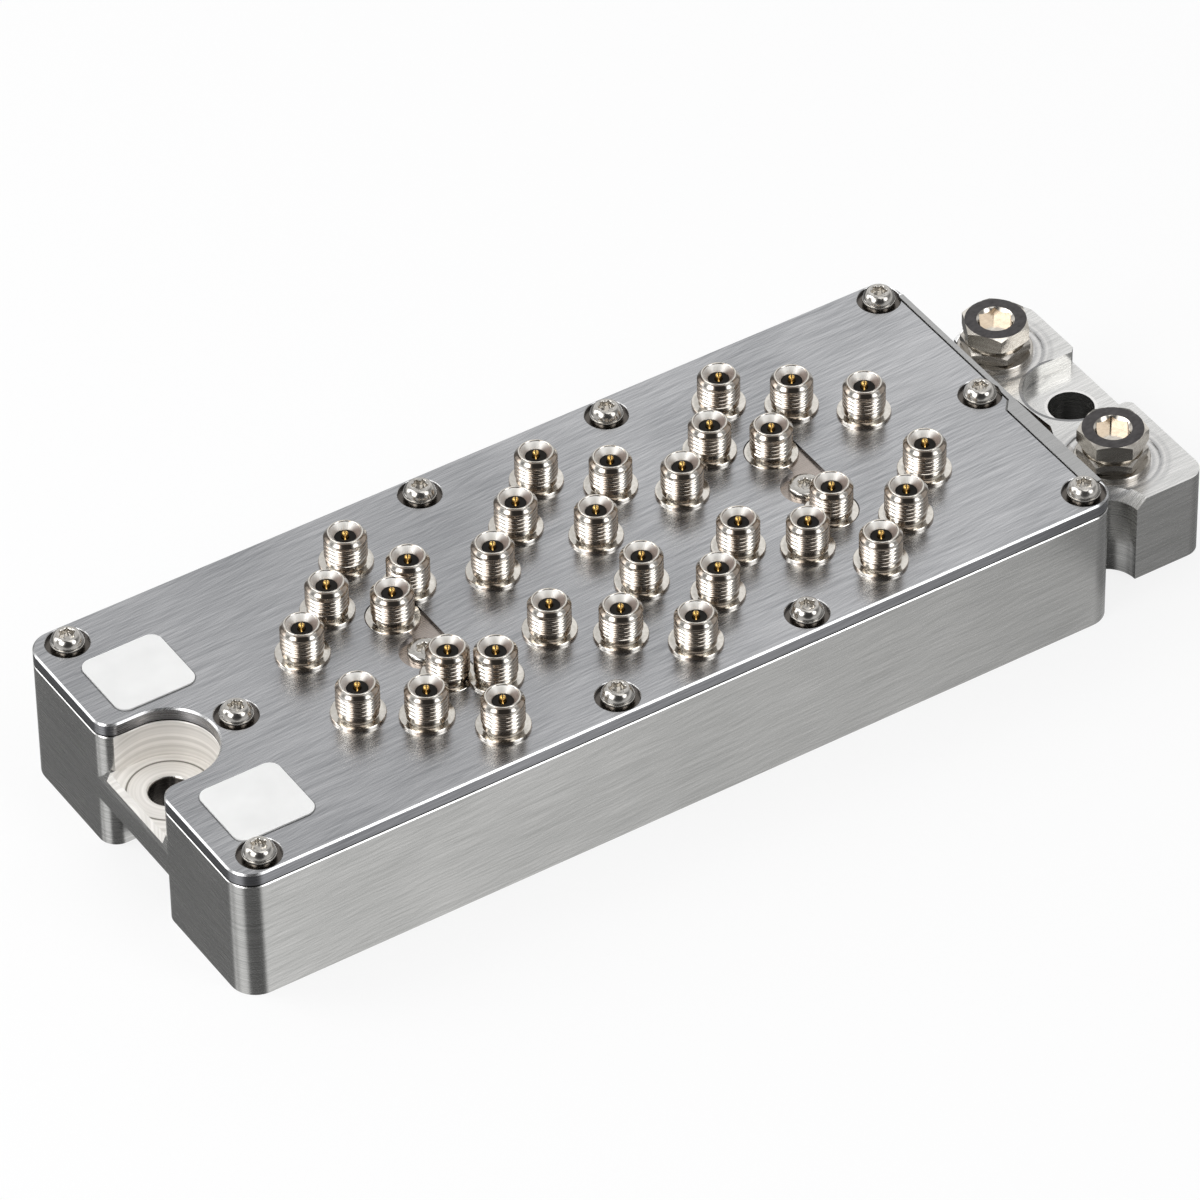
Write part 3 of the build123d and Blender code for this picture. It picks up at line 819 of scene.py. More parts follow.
def housing_finish():
    """Milled metal: hairlines along each face and rings left by the cutter, with painted light that makes the
    notch pale, painted shade that makes the bores dark, painted shade round the slot's rim and a painted
    highlight round its bore.
    """
    material, hand, shader, where, lines, colour, rough = brushed_metal(
        "milled_housing", linear(0.80, 0.80, 0.79), linear(0.97, 0.965, 0.955), 0.22, (0.72, 0.72, 0.715)
    )
    x, y, z = hand.split(hand.spot(where))
    level = lines.outputs["Level"]
    low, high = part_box("housing")
    left, block_top = low.x / MM, high.z / MM
    # Rings of the spot faces round the plugs
    places = [node_middle("port_plug_" + side)[:2] for side in ("front", "rear")]
    near = hand.math("MINIMUM", *[hand.distance(x, y, *place) for place in places])
    rings = hand.noise("rings", hand.join("ring", hand.times(near, 1.6)), 1.0, 2.0)
    rings = hand.remap(rings, 0.38, 0.62)
    rings = hand.blend(rings, linear(0.58, 0.58, 0.59), linear(0.92, 0.91, 0.90))
    reach = hand.times(hand.remap(near, 7.0, 9.5, 1.0, 0.0, smooth=True), level, 0.55)
    colour = hand.blend(reach, colour, rings)
    # Painted shade round the rim of the open slot, in place of a broken edge
    slot_x, slot_y, slot_radius, flange_top = slot_rim()
    from_slot = hand.distance(x, y, slot_x, slot_y)
    inside, outside = hand.over(from_slot, slot_radius - 0.1), hand.under(from_slot, slot_radius + 0.45)
    rim = hand.times(outside, level, hand.over(z, flange_top - 0.2), inside, 0.8)
    colour = hand.blend(rim, colour, linear(0.45, 0.45, 0.46))
    # Painted light inside the end notch, paler and warmer, with rings on the web, a painted shade towards the
    # top and painted shade in the bore
    notch_x = left + NOTCH_FROM_END
    from_notch = hand.distance(x, y, notch_x, 0.0)
    cut_reach = NOTCH_RADIUS + 0.2
    mouth = hand.times(hand.under(x, notch_x), hand.under(hand.math("ABSOLUTE", y), cut_reach))
    in_notch = hand.times(
        hand.math("MAXIMUM", hand.under(from_notch, cut_reach), mouth),
        hand.over(x, left + 0.04),
        hand.over(from_notch, 3.15),
        hand.over(z, flange_top - 2.0),
    )
    height_lines = hand.times(hand.minus(1.0, level), z)
    arcs = hand.join("ring", hand.times(hand.plus(from_notch, height_lines), 1.4))
    arcs = hand.noise("arcs", arcs, 1.0, 3.0)
    arcs = hand.remap(arcs, 0.35, 0.65)
    painted_notch_light = hand.blend(arcs, linear(0.88, 0.865, 0.84), linear(0.99, 0.975, 0.955))
    painted_notch_shade = hand.remap(z, block_top - 4.5, block_top - 1.0, 0.0, 0.1)
    painted_notch_light = hand.blend(painted_notch_shade, painted_notch_light, linear(0.62, 0.60, 0.57))
    step = hand.times(hand.math("COMPARE", from_notch, 6.15, 0.14), level)
    painted_notch_light = hand.blend(step, painted_notch_light, linear(0.50, 0.48, 0.45))
    colour = hand.blend(in_notch, colour, painted_notch_light)
    unlit = linear(0.42, 0.40, 0.38)
    colour = hand.blend(hand.under(from_notch, 3.1), colour, unlit)
    # Painted highlight round the bore in the slot, where a broken edge would catch the light
    from_bore = hand.distance(x, y, slot_x, SLOT_BORE_Y)
    bore_highlight = hand.times(hand.under(from_bore, 3.95), level, hand.under(z, flange_top - 0.5))
    colour = hand.blend(bore_highlight, colour, linear(0.99, 0.98, 0.97))
    # Unlit relief pocket beside the slot
    slot_left = slot_x - slot_radius
    pocket_left = slot_left - 6.2
    pocket = hand.times(
        hand.under(x, slot_left - 0.15),
        hand.under(z, flange_top - 0.12),
        hand.over(x, pocket_left),
        hand.over(z, 4.0),
        hand.under(hand.math("ABSOLUTE", y), 14.0),
        hand.remap(z, flange_top - 5.0, flange_top - 0.5, 1.0, 0.35),
    )
    colour = hand.blend(pocket, colour, linear(0.48, 0.44, 0.40))
    # Unlit floor of the counterbores in the strip, and the strip's top, duller than the flange
    floor = hand.times(hand.over(z, flange_top + 7.0), hand.under(z, block_top - 0.3), level)
    colour = hand.blend(floor, colour, unlit)
    strip = hand.times(hand.over(x, slot_left - 9.3), hand.over(z, block_top - 0.1), 0.7)
    colour = hand.blend(strip, colour, linear(0.62, 0.62, 0.62))
    hand.link(colour, shader.inputs["Base Color"])
    hand.link(hand.plus(rough, hand.times(in_notch, 0.12)), shader.inputs["Roughness"])
    # The notch and the flange's top are duller than the rest
    on_flange = hand.times(hand.over(x, pocket_left), level, hand.under(z, flange_top + 0.1))
    metal = hand.minus(hand.minus(0.96, hand.times(in_notch, 0.8)), hand.times(on_flange, 0.2))
    hand.link(metal, shader.inputs["Metallic"])
    return material


def slot_rim():
    """Centre and radius of the flange's open slot and its top level, read from the housing."""
    points = [vertex.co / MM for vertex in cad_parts["housing"].data.vertices]
    end = max(point.x for point in points)
    top = max(point.z for point in points if point.x > end - 0.01)
    points = [point for point in points if point.z > top - 0.01]
    mouth = [point.y for point in points if point.x > end - 0.01 and abs(point.y) < 12]
    middle = (min(mouth) + max(mouth)) / 2
    radius = (max(mouth) - min(mouth)) / 2 - 0.8
    arc = [point.x for point in points if abs(point.y - middle) < 1.5 and point.x > end - 15]
    return min(arc) + radius, middle, radius, top


class FILTERBLOCK_OT_housing(bpy.types.Operator):
    """Smooths the milled housing's curved walls and gives it its finish"""

    bl_idname = "filterblock.housing"
    bl_label = "Housing"

    def execute(self, context):
        piece = object_from(merged_mesh(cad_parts["housing"].data), "milled_housing", sharp=20.0)
        flatten_shading(piece)
        set_finishes(piece, housing_finish())
        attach(piece, "root")
        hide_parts("housing")
        return {"FINISHED"}


def lid_outline(low, high, corner):
    """Plan of the lid: rounded corners, the round-ended notch and the step round the strip."""
    left, front = low.x / MM, low.y / MM
    right, rear = high.x / MM, high.y / MM
    notch_x, mouth = left + NOTCH_FROM_END, 2.8
    strip_inset, strip_wide, strip_narrow = 4.5, 2.4, 0.9
    step_y, step_run = front + 25.0, 1.8
    corners = [
        (left, front, corner),
        (right, front, corner),
        (right, front + strip_inset, 0),
        (right - strip_wide, front + strip_inset, 0),
        (right - strip_wide, step_y, 0),
        (right - strip_narrow, step_y + step_run, 0),
        (right - strip_narrow, rear - strip_inset, 0),
        (right, rear - strip_inset, 0),
        (right, rear, corner),
        (left, rear, corner),
        (left, NOTCH_RADIUS, mouth),
    ]
    for step in range(NOTCH_STEPS + 1):
        angle = math.pi / 2 - math.pi * step / NOTCH_STEPS
        corners.append((notch_x + NOTCH_RADIUS * math.cos(angle), NOTCH_RADIUS * math.sin(angle), 0))
    corners.append((left, -NOTCH_RADIUS, mouth))
    outline = outline_with_arcs(corners)
    return [point for index, point in enumerate(outline) if (point - outline[index - 1]).length > 1e-4]


def lid_finish(bottom, top):
    """Brushed metal with warm recess floors, painted shade on the counterbore floors, dark seams, a painted
    shadow round the labels and a painted highlight on the broken edge.
    """
    finish, hand, shader, where, lines, colour, rough = brushed_metal(
        "milled_lid", linear(0.61, 0.615, 0.625), linear(0.84, 0.84, 0.845), 0.26, (0.62, 0.62, 0.63)
    )
    x, y, z = hand.split(hand.spot(where))
    level = lines.outputs["Level"]
    # Warm floors of the recesses, and painted shade on the floors of the counterbores
    colour = hand.blend(hand.times(hand.under(z, top - 0.25), level), colour, linear(0.74, 0.70, 0.67))
    colour = hand.blend(hand.times(hand.under(z, top - 0.55), level), colour, linear(0.42, 0.40, 0.38))
    # Dark seam at the foot of the lid's side, and a thin painted shadow round the labels
    seam = hand.times(hand.under(z, bottom + 0.22), hand.minus(1.0, level))
    colour = hand.blend(seam, colour, linear(0.16, 0.16, 0.16))
    for side in ("front", "rear"):
        label_low, label_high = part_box("label_" + side)
        off = []
        for place, start, end in ((x, label_low.x, label_high.x), (y, label_low.y, label_high.y)):
            from_middle = hand.math("ABSOLUTE", hand.minus(place, (start + end) / 2 / MM))
            off.append(hand.math("MAXIMUM", hand.minus(from_middle, (end - start) / 2 / MM - 2.0), 0.0))
        edge = hand.remap(hand.math("SQRT", hand.squares(*off)), 2.1, 2.3, 0.75, 0.0)
        colour = hand.blend(edge, colour, linear(0.25, 0.25, 0.25))
    # Painted highlight on the broken edge, the faces between level and upright
    upwards = hand.split(where.outputs["Normal"], "normal")[2]
    painted_edge_highlight = hand.times(hand.under(hand.math("ABSOLUTE", upwards), 0.85), level)
    colour = hand.blend(painted_edge_highlight, colour, linear(0.82, 0.82, 0.82))
    hand.link(colour, shader.inputs["Base Color"])
    hand.link(rough, shader.inputs["Roughness"])
    return finish


def lid_screws(top):
    """Places of the outer and of the inner screws, by the height of their heads over the lid."""
    outer, inner = [], []
    for x, y, _, head_top in axis_places("lid_screws"):
        (outer if head_top > top + SCREW_HEAD_SPLIT else inner).append((x, y, top))
    return outer, inner


class FILTERBLOCK_OT_lid(bpy.types.Operator):
    """Builds the lid with round counterbores, the two recesses and a chamfered edge"""

    bl_idname = "filterblock.lid"
    bl_label = "Lid"

    def execute(self, context):
        sizes = context.scene.filter_block
        low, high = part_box("lid")
        bottom, top = low.z / MM, high.z / MM
        outline = lid_outline(low, high, sizes.corner / MM)
        piece = object_from(prism(outline, bottom, top, sizes.edge / MM), "milled_lid")
        outer, inner = lid_screws(top)
        # Counterbores with a fine chamfer round their rims
        seat, radius = top - sizes.seat_depth / MM, sizes.seat_radius / MM
        profile = [(radius, seat), (radius, top - 0.1), (radius + 0.3, top + 0.2), (radius + 0.3, top + 1.0)]
        for x, y, _ in outer:
            cutter = turned("cutter", profile, 64)
            cutter.data.transform(Matrix.Translation((x * MM, y * MM, 0)))
            cut_away(piece, cutter)
        # Recesses round two jacks and the screw between them, with one straight side
        jacks = axis_places("jack_shells")
        jack_top = max(jack[3] for jack in jacks)
        recessed = [jack for jack in jacks if jack[3] < jack_top - 0.2]
        floor, reach, screw_reach = top - sizes.recess_depth / MM, 4.1, 3.7
        for screw_x, screw_y, _ in inner:
            pair = sorted(recessed, key=lambda jack: abs(jack[0] - screw_x))[:2]
            discs = [(jack[0], jack[1], reach) for jack in pair] + [(screw_x, screw_y, screw_reach)]
            for x, y, disc in discs:
                cutter = turned("cutter", [(disc, floor), (disc, top + 1.0)], 72)
                cutter.data.transform(Matrix.Translation((x * MM, y * MM, 0)))
                cut_away(piece, cutter)
            x = pair[0][0]
            y_low, y_high = sorted(jack[1] for jack in pair)
            plan = ((x, y_low), (x + reach, y_low), (x + reach, y_high), (x, y_high))
            box = prism([Vector(point) for point in plan], floor, top + 1.0)
            cut_away(piece, object_from(box, "cutter"))
        mesh = merged_mesh(piece.data)
        bpy.data.objects.remove(piece)
        piece = object_from(mesh, "milled_lid", sharp=20.0)
        flatten_shading(piece)
        set_finishes(piece, lid_finish(bottom, top))
        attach(piece, "root")
        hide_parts("lid")
        return {"FINISHED"}


class FILTERBLOCK_OT_jacks(bpy.types.Operator):
    """Turns and threads the 32 jack shells, with their insulators and slotted contacts"""

    bl_idname = "filterblock.jacks"
    bl_label = "Jacks"

    def execute(self, context):
        sizes = context.scene.filter_jacks
        top = JACK_HEIGHT
        feet = [(x, y, rim - top) for x, y, _, rim in axis_places("jack_shells")]
        foot, outer, mouth = sizes.foot_radius / MM, sizes.thread_radius / MM, sizes.mouth_radius / MM
        neck = outer - 0.22
        thread_low, thread_high, rows = 1.65, top - 1.1, 34
        # Foot and neck, wall that takes the thread, then shoulder and dished rim
        profile = [
            (1.9, 0.0), (foot - 0.05, 0.0), (foot, 0.05), (foot, 0.38), (foot - 0.07, 0.45),
            (neck + 0.16, 0.45), (neck + 0.04, 0.49), (neck, 0.58), (neck, thread_low - 0.12),
        ]
        for row in range(rows + 1):
            profile.append((outer, thread_low + (thread_high - thread_low) * row / rows))
        profile += [
            (outer, top - 0.88), (outer - 0.04, top - 0.79), (outer - 0.14, top - 0.66),
            (outer - 0.42, top - 0.34), (mouth + 0.20, top - 0.14), (mouth + 0.19, top - 0.08),
            (mouth + 0.14, top - 0.02),
            (mouth + 0.07, top), (mouth, top - 0.01), (mouth - 0.07, top - 0.05), (mouth - 0.12, top - 0.12),
            (1.9, top - 0.75),
        ]
        # The third colour is the dark band of the painted reflection on the jacks' walls
        dark, light, reflection_band = linear(0.86, 0.84, 0.80), linear(0.96, 0.94, 0.91), linear(0.68, 0.63, 0.58)
        shells = stand(
            "threaded_jacks",
            threaded_tree(),
            feet,
            turned("jack_form", profile, 48, sharp=35, tube=True),
            turned_metal("jack_steel", dark, light, 0.12, depth=0.0005, reflection_band=reflection_band),
            Turn_spread=math.pi,
            Turn_seed=sizes.turn_seed,
            Thread_depth=sizes.thread_depth,
            Thread_pitch=sizes.thread_pitch,
            Thread_bottom=thread_low * MM,
            Thread_top=thread_high * MM,
            Thread_inner_radius=(neck + 0.1) * MM,
        )
        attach(shells, "root")
        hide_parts("jack_shells")
        # Bright lining of the dished mouth, with painted shade to its sides
        lining = [
            (1.4, 0.3), (1.9, 0.3), (1.9, top - 0.7), (mouth - 0.14, top - 0.125), (mouth - 0.17, top - 0.14),
            (1.62, top - 0.95), (1.59, top - 1.0), (1.58, top - 1.3),
        ]
        form = turned("lining_form", lining, 40, tube=True)
        linings = stand("jack_linings", standing_tree(), feet, form, dished_metal("jack_lining"))
        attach(linings, "root")
        # Black insulator across the mouth
        bead = [(1.57, 0.5), (1.57, top - 1.06), (0.62, top - 1.06), (0.56, top - 1.3)]
        black = plain_finish("insulator", (0.010, 0.009, 0.008), (0.018, 0.016, 0.014), 0.6, specular=0.15)
        beads = stand("jack_insulators", standing_tree(), feet, turned("bead_form", bead, 32), black)
        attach(beads, "root")
        # Contacts with a rounded, slotted tip
        tip = top - 0.05
        pin = [
            (0.475, 0.3), (0.475, tip - 0.40), (0.46, tip - 0.28), (0.415, tip - 0.16), (0.34, tip - 0.08),
            (0.24, tip - 0.025), (0.12, tip), (0.06, tip),
        ]
        form = turned("pin_form", pin, 24)
        slot = bmesh.new()
        bmesh.ops.create_cube(slot, size=1.0)
        slot.transform(Matrix.Translation((0, 0, tip * MM)) @ Matrix.Diagonal((0.0014, 0.00015, 0.0018, 1)))
        cut_away(form, object_from(slot, "cutter"))
        dark, light = linear(0.88, 0.68, 0.36), linear(0.99, 0.84, 0.52)
        gold = turned_metal("contact_gold", dark, light, 0.2, depth=0.001)
        turns = {"First_turn": math.radians(58.0), "Turn_seed": sizes.turn_seed + 3}
        contacts = stand("slotted_contacts", standing_tree(), feet, form, gold, **turns)
        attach(contacts, "root")
        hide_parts("centre_contacts")
        return {"FINISHED"}


class FILTERBLOCK_OT_screws(bpy.types.Operator):
    """Turns the domed outer screws and the low inner screws, with six-lobed sockets"""

    bl_idname = "filterblock.screws"
    bl_label = "Lid screws"

    def execute(self, context):
        sizes = context.scene.filter_screws
        outer, inner = lid_screws(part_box("lid")[1].z / MM)
        head, socket = sizes.head_radius / MM, sizes.socket_radius / MM
        dark, light = linear(0.74, 0.725, 0.70), linear(0.86, 0.845, 0.82)
        steel = turned_metal("screw_steel", dark, light, 0.16, depth=0.0003)
        domed = [
            (1.2, -6.0), (1.2, -0.6), (2.0, -0.6), (2.0, 0.0), (head - 0.05, 0.02), (head, 0.07),
            (head, 0.32), (head - 0.03, 0.37), (head - 0.1, 0.39), (head - 0.09, 0.43), (head - 0.07, 0.50),
            (2.38, 0.70), (2.27, 0.95), (2.12, 1.20), (1.95, 1.42), (1.80, 1.57), (1.66, 1.68),
            (1.58, 1.72), (1.52, 1.735),
        ]
        flat = [
            (1.2, -6.0), (1.2, -0.5), (head - 0.04, -0.5), (head, -0.44), (head, 0.42), (head - 0.06, 0.52),
            (head - 0.2, 0.64), (head - 0.38, 0.72), (head - 0.6, 0.765),
        ]
        kinds = (("domed_screws", outer, domed, 1.74), ("low_screws", inner, flat, 0.8))
        for kind, (name, places, profile, face) in enumerate(kinds):
            rings = [round_ring(radius, z) for radius, z in profile]
            rings += [round_ring(socket + 0.22, face), round_ring(socket + 0.16, face - 0.02)]
            rings += [lobed_ring(socket, 0.12, face - 0.12), lobed_ring(socket - 0.02, 0.12, face - 0.16)]
            rings += [lobed_ring(socket - 0.04, 0.12, face - 0.9), lobed_ring(socket * 0.6, 0.05, face - 1.0)]
            rings.append(round_ring(0.1, face - 1.02))
            form = loft("screw_form", rings, 60, sharp=32)
            turns = {"Turn_spread": math.pi, "Turn_seed": sizes.turn_seed + kind}
            piece = stand(name, standing_tree(), places, form, steel, **turns)
            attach(piece, "root")
            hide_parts("lid_screws")
        return {"FINISHED"}


def plug_finish(name, axis_x, axis_y, top):
    """Warm turned steel whose flat top ring is left dark and satin, with painted shade on the key socket's
    walls.
    """
    material, hand, shader, where = principled(name, Metallic=1.0)
    lines = hand.hairlines(Across_per_mm=1.5, Along_per_mm=0.8, Cloud_per_mm=0.3)
    share = hand.remap(lines.outputs["Lines"], 0.3, 0.7)
    sides = hand.blend(share, linear(0.80, 0.77, 0.73), linear(0.92, 0.90, 0.86))
    dark = hand.blend(share, linear(0.30, 0.29, 0.29), linear(0.38, 0.37, 0.37))
    x, y, z = hand.split(hand.spot(where))
    away = hand.distance(x, y, axis_x, axis_y)
    ring = hand.times(hand.over(away, 2.83), hand.over(z, top - 0.02))
    upright = hand.minus(1.0, lines.outputs["Level"])
    # Painted shade on the walls of the key socket
    socket_shade = hand.times(hand.under(away, 2.78), hand.under(z, top - 0.12), upright)
    colour = hand.blend(ring, sides, dark)
    colour = hand.blend(socket_shade, colour, linear(0.66, 0.62, 0.57))
    hand.link(colour, shader.inputs["Base Color"])
    hand.link(hand.remap(ring, 0.0, 1.0, 0.16, 0.4), shader.inputs["Roughness"])
    hand.bump(shader, lines.outputs["Fine"], 0.01, 0.2)
    return material


class FILTERBLOCK_OT_plugs(bpy.types.Operator):
    """Builds the two port plugs with their jam nuts and washers"""

    bl_idname = "filterblock.plugs"
    bl_label = "Port plugs"

    def execute(self, context):
        sizes = context.scene.filter_plugs
        flats, key = sizes.hex_flats / MM, sizes.key_flats / MM
        for side, head_turn, nut_turn in (("front", 28.0, 28.0), ("rear", 5.0, 15.0)):
            head_turn, nut_turn = math.radians(head_turn), math.radians(nut_turn)
            x, y, _, head_top = node_middle("port_plug_" + side)
            _, _, nut_low, nut_top = node_middle("jam_nut_" + side)
            _, _, washer_low, washer_top = node_middle("plug_washer_" + side)
            head_low = nut_top + 0.7
            place = [(x, y, 0.0)]
            steel = plug_finish("plug_steel_" + side, x, y, head_top)
            key_mouth = 2.8

            def key_ring(across, depth, turn=head_turn, face=head_top):
                """Outline of the key socket at a depth under the head's face."""
                return lambda angle: (hex_radius(across, angle + turn), face - depth)

            def key_cone(angle, turn=head_turn, face=head_top):
                """Where the socket's mouth meets its six walls."""
                radius = hex_radius(key, angle + turn)
                return radius, face - 0.04 - (key_mouth - radius)

            rings = [
                round_ring(3.5, washer_low - 8.0),
                round_ring(3.5, nut_top - 0.1),
                round_ring(4.2, nut_top - 0.02),
                round_ring(4.2, head_low),
                round_ring(4.55, head_low),
                hex_under_cone(flats, 4.6, head_low, -30),
                hex_under_cone(flats, 4.6, head_top, 30),
                round_ring(4.55, head_top),
                round_ring(key_mouth + 0.06, head_top),
                round_ring(key_mouth, head_top - 0.04),
                key_cone,
                key_ring(key, 2.0),
                key_ring(key * 0.5, 2.02),
                round_ring(0.1, head_top - 2.04),
            ]
            form = loft("plug_form", rings, 72, sharp=20)
            piece = stand("port_plug_head_" + side, standing_tree(), place, form, steel, First_turn=head_turn)
            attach(piece, "root")
            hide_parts("port_plug_" + side)
            dark, light = linear(0.70, 0.68, 0.65), linear(0.82, 0.80, 0.77)
            nut_steel = turned_metal("nut_steel_" + side, dark, light, 0.2)
            rings = [
                round_ring(3.6, nut_low),
                round_ring(4.55, nut_low),
                hex_under_cone(flats, 4.6, nut_low, -30),
                hex_under_cone(flats, 4.6, nut_top, 30),
                round_ring(4.55, nut_top),
                round_ring(3.6, nut_top),
            ]
            form = loft("nut_form", rings, 72, sharp=20, tube=True)
            name = "jam_nut_ring_" + side
            piece = stand(name, standing_tree(), place, form, nut_steel, First_turn=nut_turn)
            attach(piece, "root")
            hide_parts("jam_nut_" + side)
            profile = [
                (3.6, washer_low), (5.62, washer_low), (5.7, washer_low + 0.08), (5.7, washer_top - 0.12),
                (5.58, washer_top), (3.6, washer_top),
            ]
            form = turned("washer_form", profile, 72, tube=True)
            piece = stand("washer_ring_" + side, standing_tree(), place, form, nut_steel)
            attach(piece, "root")
            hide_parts("plug_washer_" + side)
        return {"FINISHED"}


class FILTERBLOCK_OT_labels(bpy.types.Operator):
    """Gives the two blank labels their paper finish"""

    bl_idname = "filterblock.labels"
    bl_label = "Labels"

    def execute(self, context):
        dark, light = linear(0.915, 0.915, 0.91), linear(0.94, 0.94, 0.935)
        paper = plain_finish("label_paper", dark, light, 0.5, specular=0.2)
        for side in ("front", "rear"):
            set_finishes(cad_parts["label_" + side], paper)
        return {"FINISHED"}


class FILTERBLOCK_OT_inside(bpy.types.Operator):
    """Gives the boards, resonator blocks and partitions in the closed bays their finishes"""

    bl_idname = "filterblock.inside"
    bl_label = "Inside"

    def execute(self, context):
        board = plain_finish("board", linear(0.12, 0.33, 0.20), linear(0.16, 0.40, 0.24), 0.4)
        ceramic = plain_finish("resonator_ceramic", linear(0.78, 0.75, 0.68), linear(0.85, 0.82, 0.76), 0.35)
        brass = turned_metal("partition_brass", linear(0.72, 0.58, 0.32), linear(0.82, 0.68, 0.42), 0.3)
        for place in ("left", "middle", "right"):
            set_finishes(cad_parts["filter_board_" + place], board)
            set_finishes(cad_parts["resonators_" + place], ceramic)
            set_finishes(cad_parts["partitions_" + place], brass)
        return {"FINISHED"}


# Stage

WHITE = (1.0, 1.0, 1.0, 1.0)
FLOOR_HALF_WIDTH = 3.0
# Just under the block's base, so that no two faces share a plane
FLOOR_DROP = 0.00002
# Soft discs of the sky that the metal sees: azimuth, elevation, inner and outer angle
DARK_DISC = (244, 38, 24, 38)
BRIGHT_DISCS = (
    ((58, 44, 30, 60), 0.46),
    ((298, 40, 9, 18), 2.8),
    ((190, 42, 12, 24), 1.8),
    ((136, 24, 8, 16), 2.4),
)
# Cards below the horizon that the upright faces see: azimuth and brightness
CARDS = (
    (0, 0.75), (60, 0.6), (92, 0.20), (140, 0.17), (150, 0.9), (160, 0.45), (176, 0.95), (202, 0.9),
    (214, 0.14), (274, 0.12), (286, 0.9), (296, 1.0), (330, 0.72), (352, 0.62), (360, 0.7),
)
# Lamps: name, place, aim, size and power
LAMPS = (
    ("key", (-0.45, 0.35, 0.70), (0.0, 0.0, 0.01), 0.4, 1.6),
    ("left", (-0.60, -0.12, 0.48), (-0.07, 0.0, 0.01), 0.3, 0.9),
    ("card", (0.237, 0.256, 0.277), (0.077, 0.0, 0.015), 0.16, 0.016),
    ("top", (0.10, -0.25, 0.90), (0.0, 0.0, 0.0), 0.5, 1.0),
)


def area_light(name, place, aim, size, power):
    """A soft square area light at a place, turned towards its aim."""
    lamp = bpy.data.lights.new(name, "AREA")
    lamp.size = size
    lamp.energy = power
    holder = bpy.data.objects.new(name, lamp)
    holder.location = place
    holder.rotation_euler = (Vector(aim) - Vector(place)).to_track_quat("-Z", "Y").to_euler()
    bpy.context.scene.collection.objects.link(holder)


def set_camera(scene):
    """Camera fitted to the photograph's straight edges."""
    camera = bpy.data.cameras.new("camera")
    camera.lens = 260.77
    camera.sensor_width = 36.0
    camera.sensor_fit = "HORIZONTAL"
    camera.clip_end = 20.0
    holder = bpy.data.objects.new("camera", camera)
    holder.matrix_world = Matrix(
        (
            (0.84107, 0.363898, -0.400224, -0.50489),
            (-0.540777, 0.548318, -0.637892, -0.79564),
            (-0.012678, 0.752944, 0.657962, 0.83546),
            (0.0, 0.0, 0.0, 1.0),
        )
    )
    scene.collection.objects.link(holder)
    scene.camera = holder


def floor_finish(colour):
    """White to the camera with the block's shadow on it; the metal sees through it to the room's cards,
    dimmed by painted shade towards the flange and under the bores.
    """
    material, hand, shader, where = principled(
        "floor", Base_Color=(*colour, 1.0), Roughness=0.9, Specular_IOR_Level=0.0
    )
    rays = hand.node("ShaderNodeLightPath")
    x, y, _ = hand.split(hand.spot(where))
    left, right = CAD_BOX[0][0] / MM, CAD_BOX[1][0] / MM
    # Painted shade in what the metal sees: less and less shows through towards the flange
    along = hand.remap(x, left, right - 18.0, 1.0, 0.6)
    beside = hand.remap(x, right - 19.0, right - 13.0, 1.0, 0.6, smooth=True)
    # Painted shade under the two mounting bores: it is dark there
    in_slot = hand.distance(x, y, slot_rim()[0], SLOT_BORE_Y)
    in_web = hand.distance(x, y, left + NOTCH_FROM_END, 0.0)
    painted_bore_shade = hand.remap(hand.math("MINIMUM", in_slot, in_web), 4.5, 7.0, 0.2, 1.0, smooth=True)
    clear = hand.node("ShaderNodeBsdfTransparent")
    hand.link(hand.times(along, beside, painted_bore_shade), clear.inputs["Color"])
    glow = hand.node("ShaderNodeEmission")
    set_inputs(glow, Color=WHITE)
    glow_share = 0.82
    seen = hand.mix_shaders(hand.times(rays.outputs["Is Camera Ray"], glow_share), shader, glow)
    mix = hand.mix_shaders(rays.outputs["Is Glossy Ray"], seen, clear)
    hand.link(mix.outputs[0], material.node_tree.nodes["Material Output"].inputs[0])
    return material


def sky_disc(hand, look, azimuth, elevation, inner, outer):
    """A soft-edged disc of the sky: 1 inside, 0 outside."""
    azimuth, elevation = math.radians(azimuth), math.radians(elevation)
    across, up = math.cos(elevation), math.sin(elevation)
    aim = hand.node("ShaderNodeVectorMath", "aim", operation="DOT_PRODUCT")
    aim.inputs[1].default_value = (across * math.cos(azimuth), across * math.sin(azimuth), up)
    hand.link(look, aim.inputs[0])
    edge, core = math.cos(math.radians(outer)), math.cos(math.radians(inner))
    return hand.remap(aim.outputs["Value"], edge, core, smooth=True)


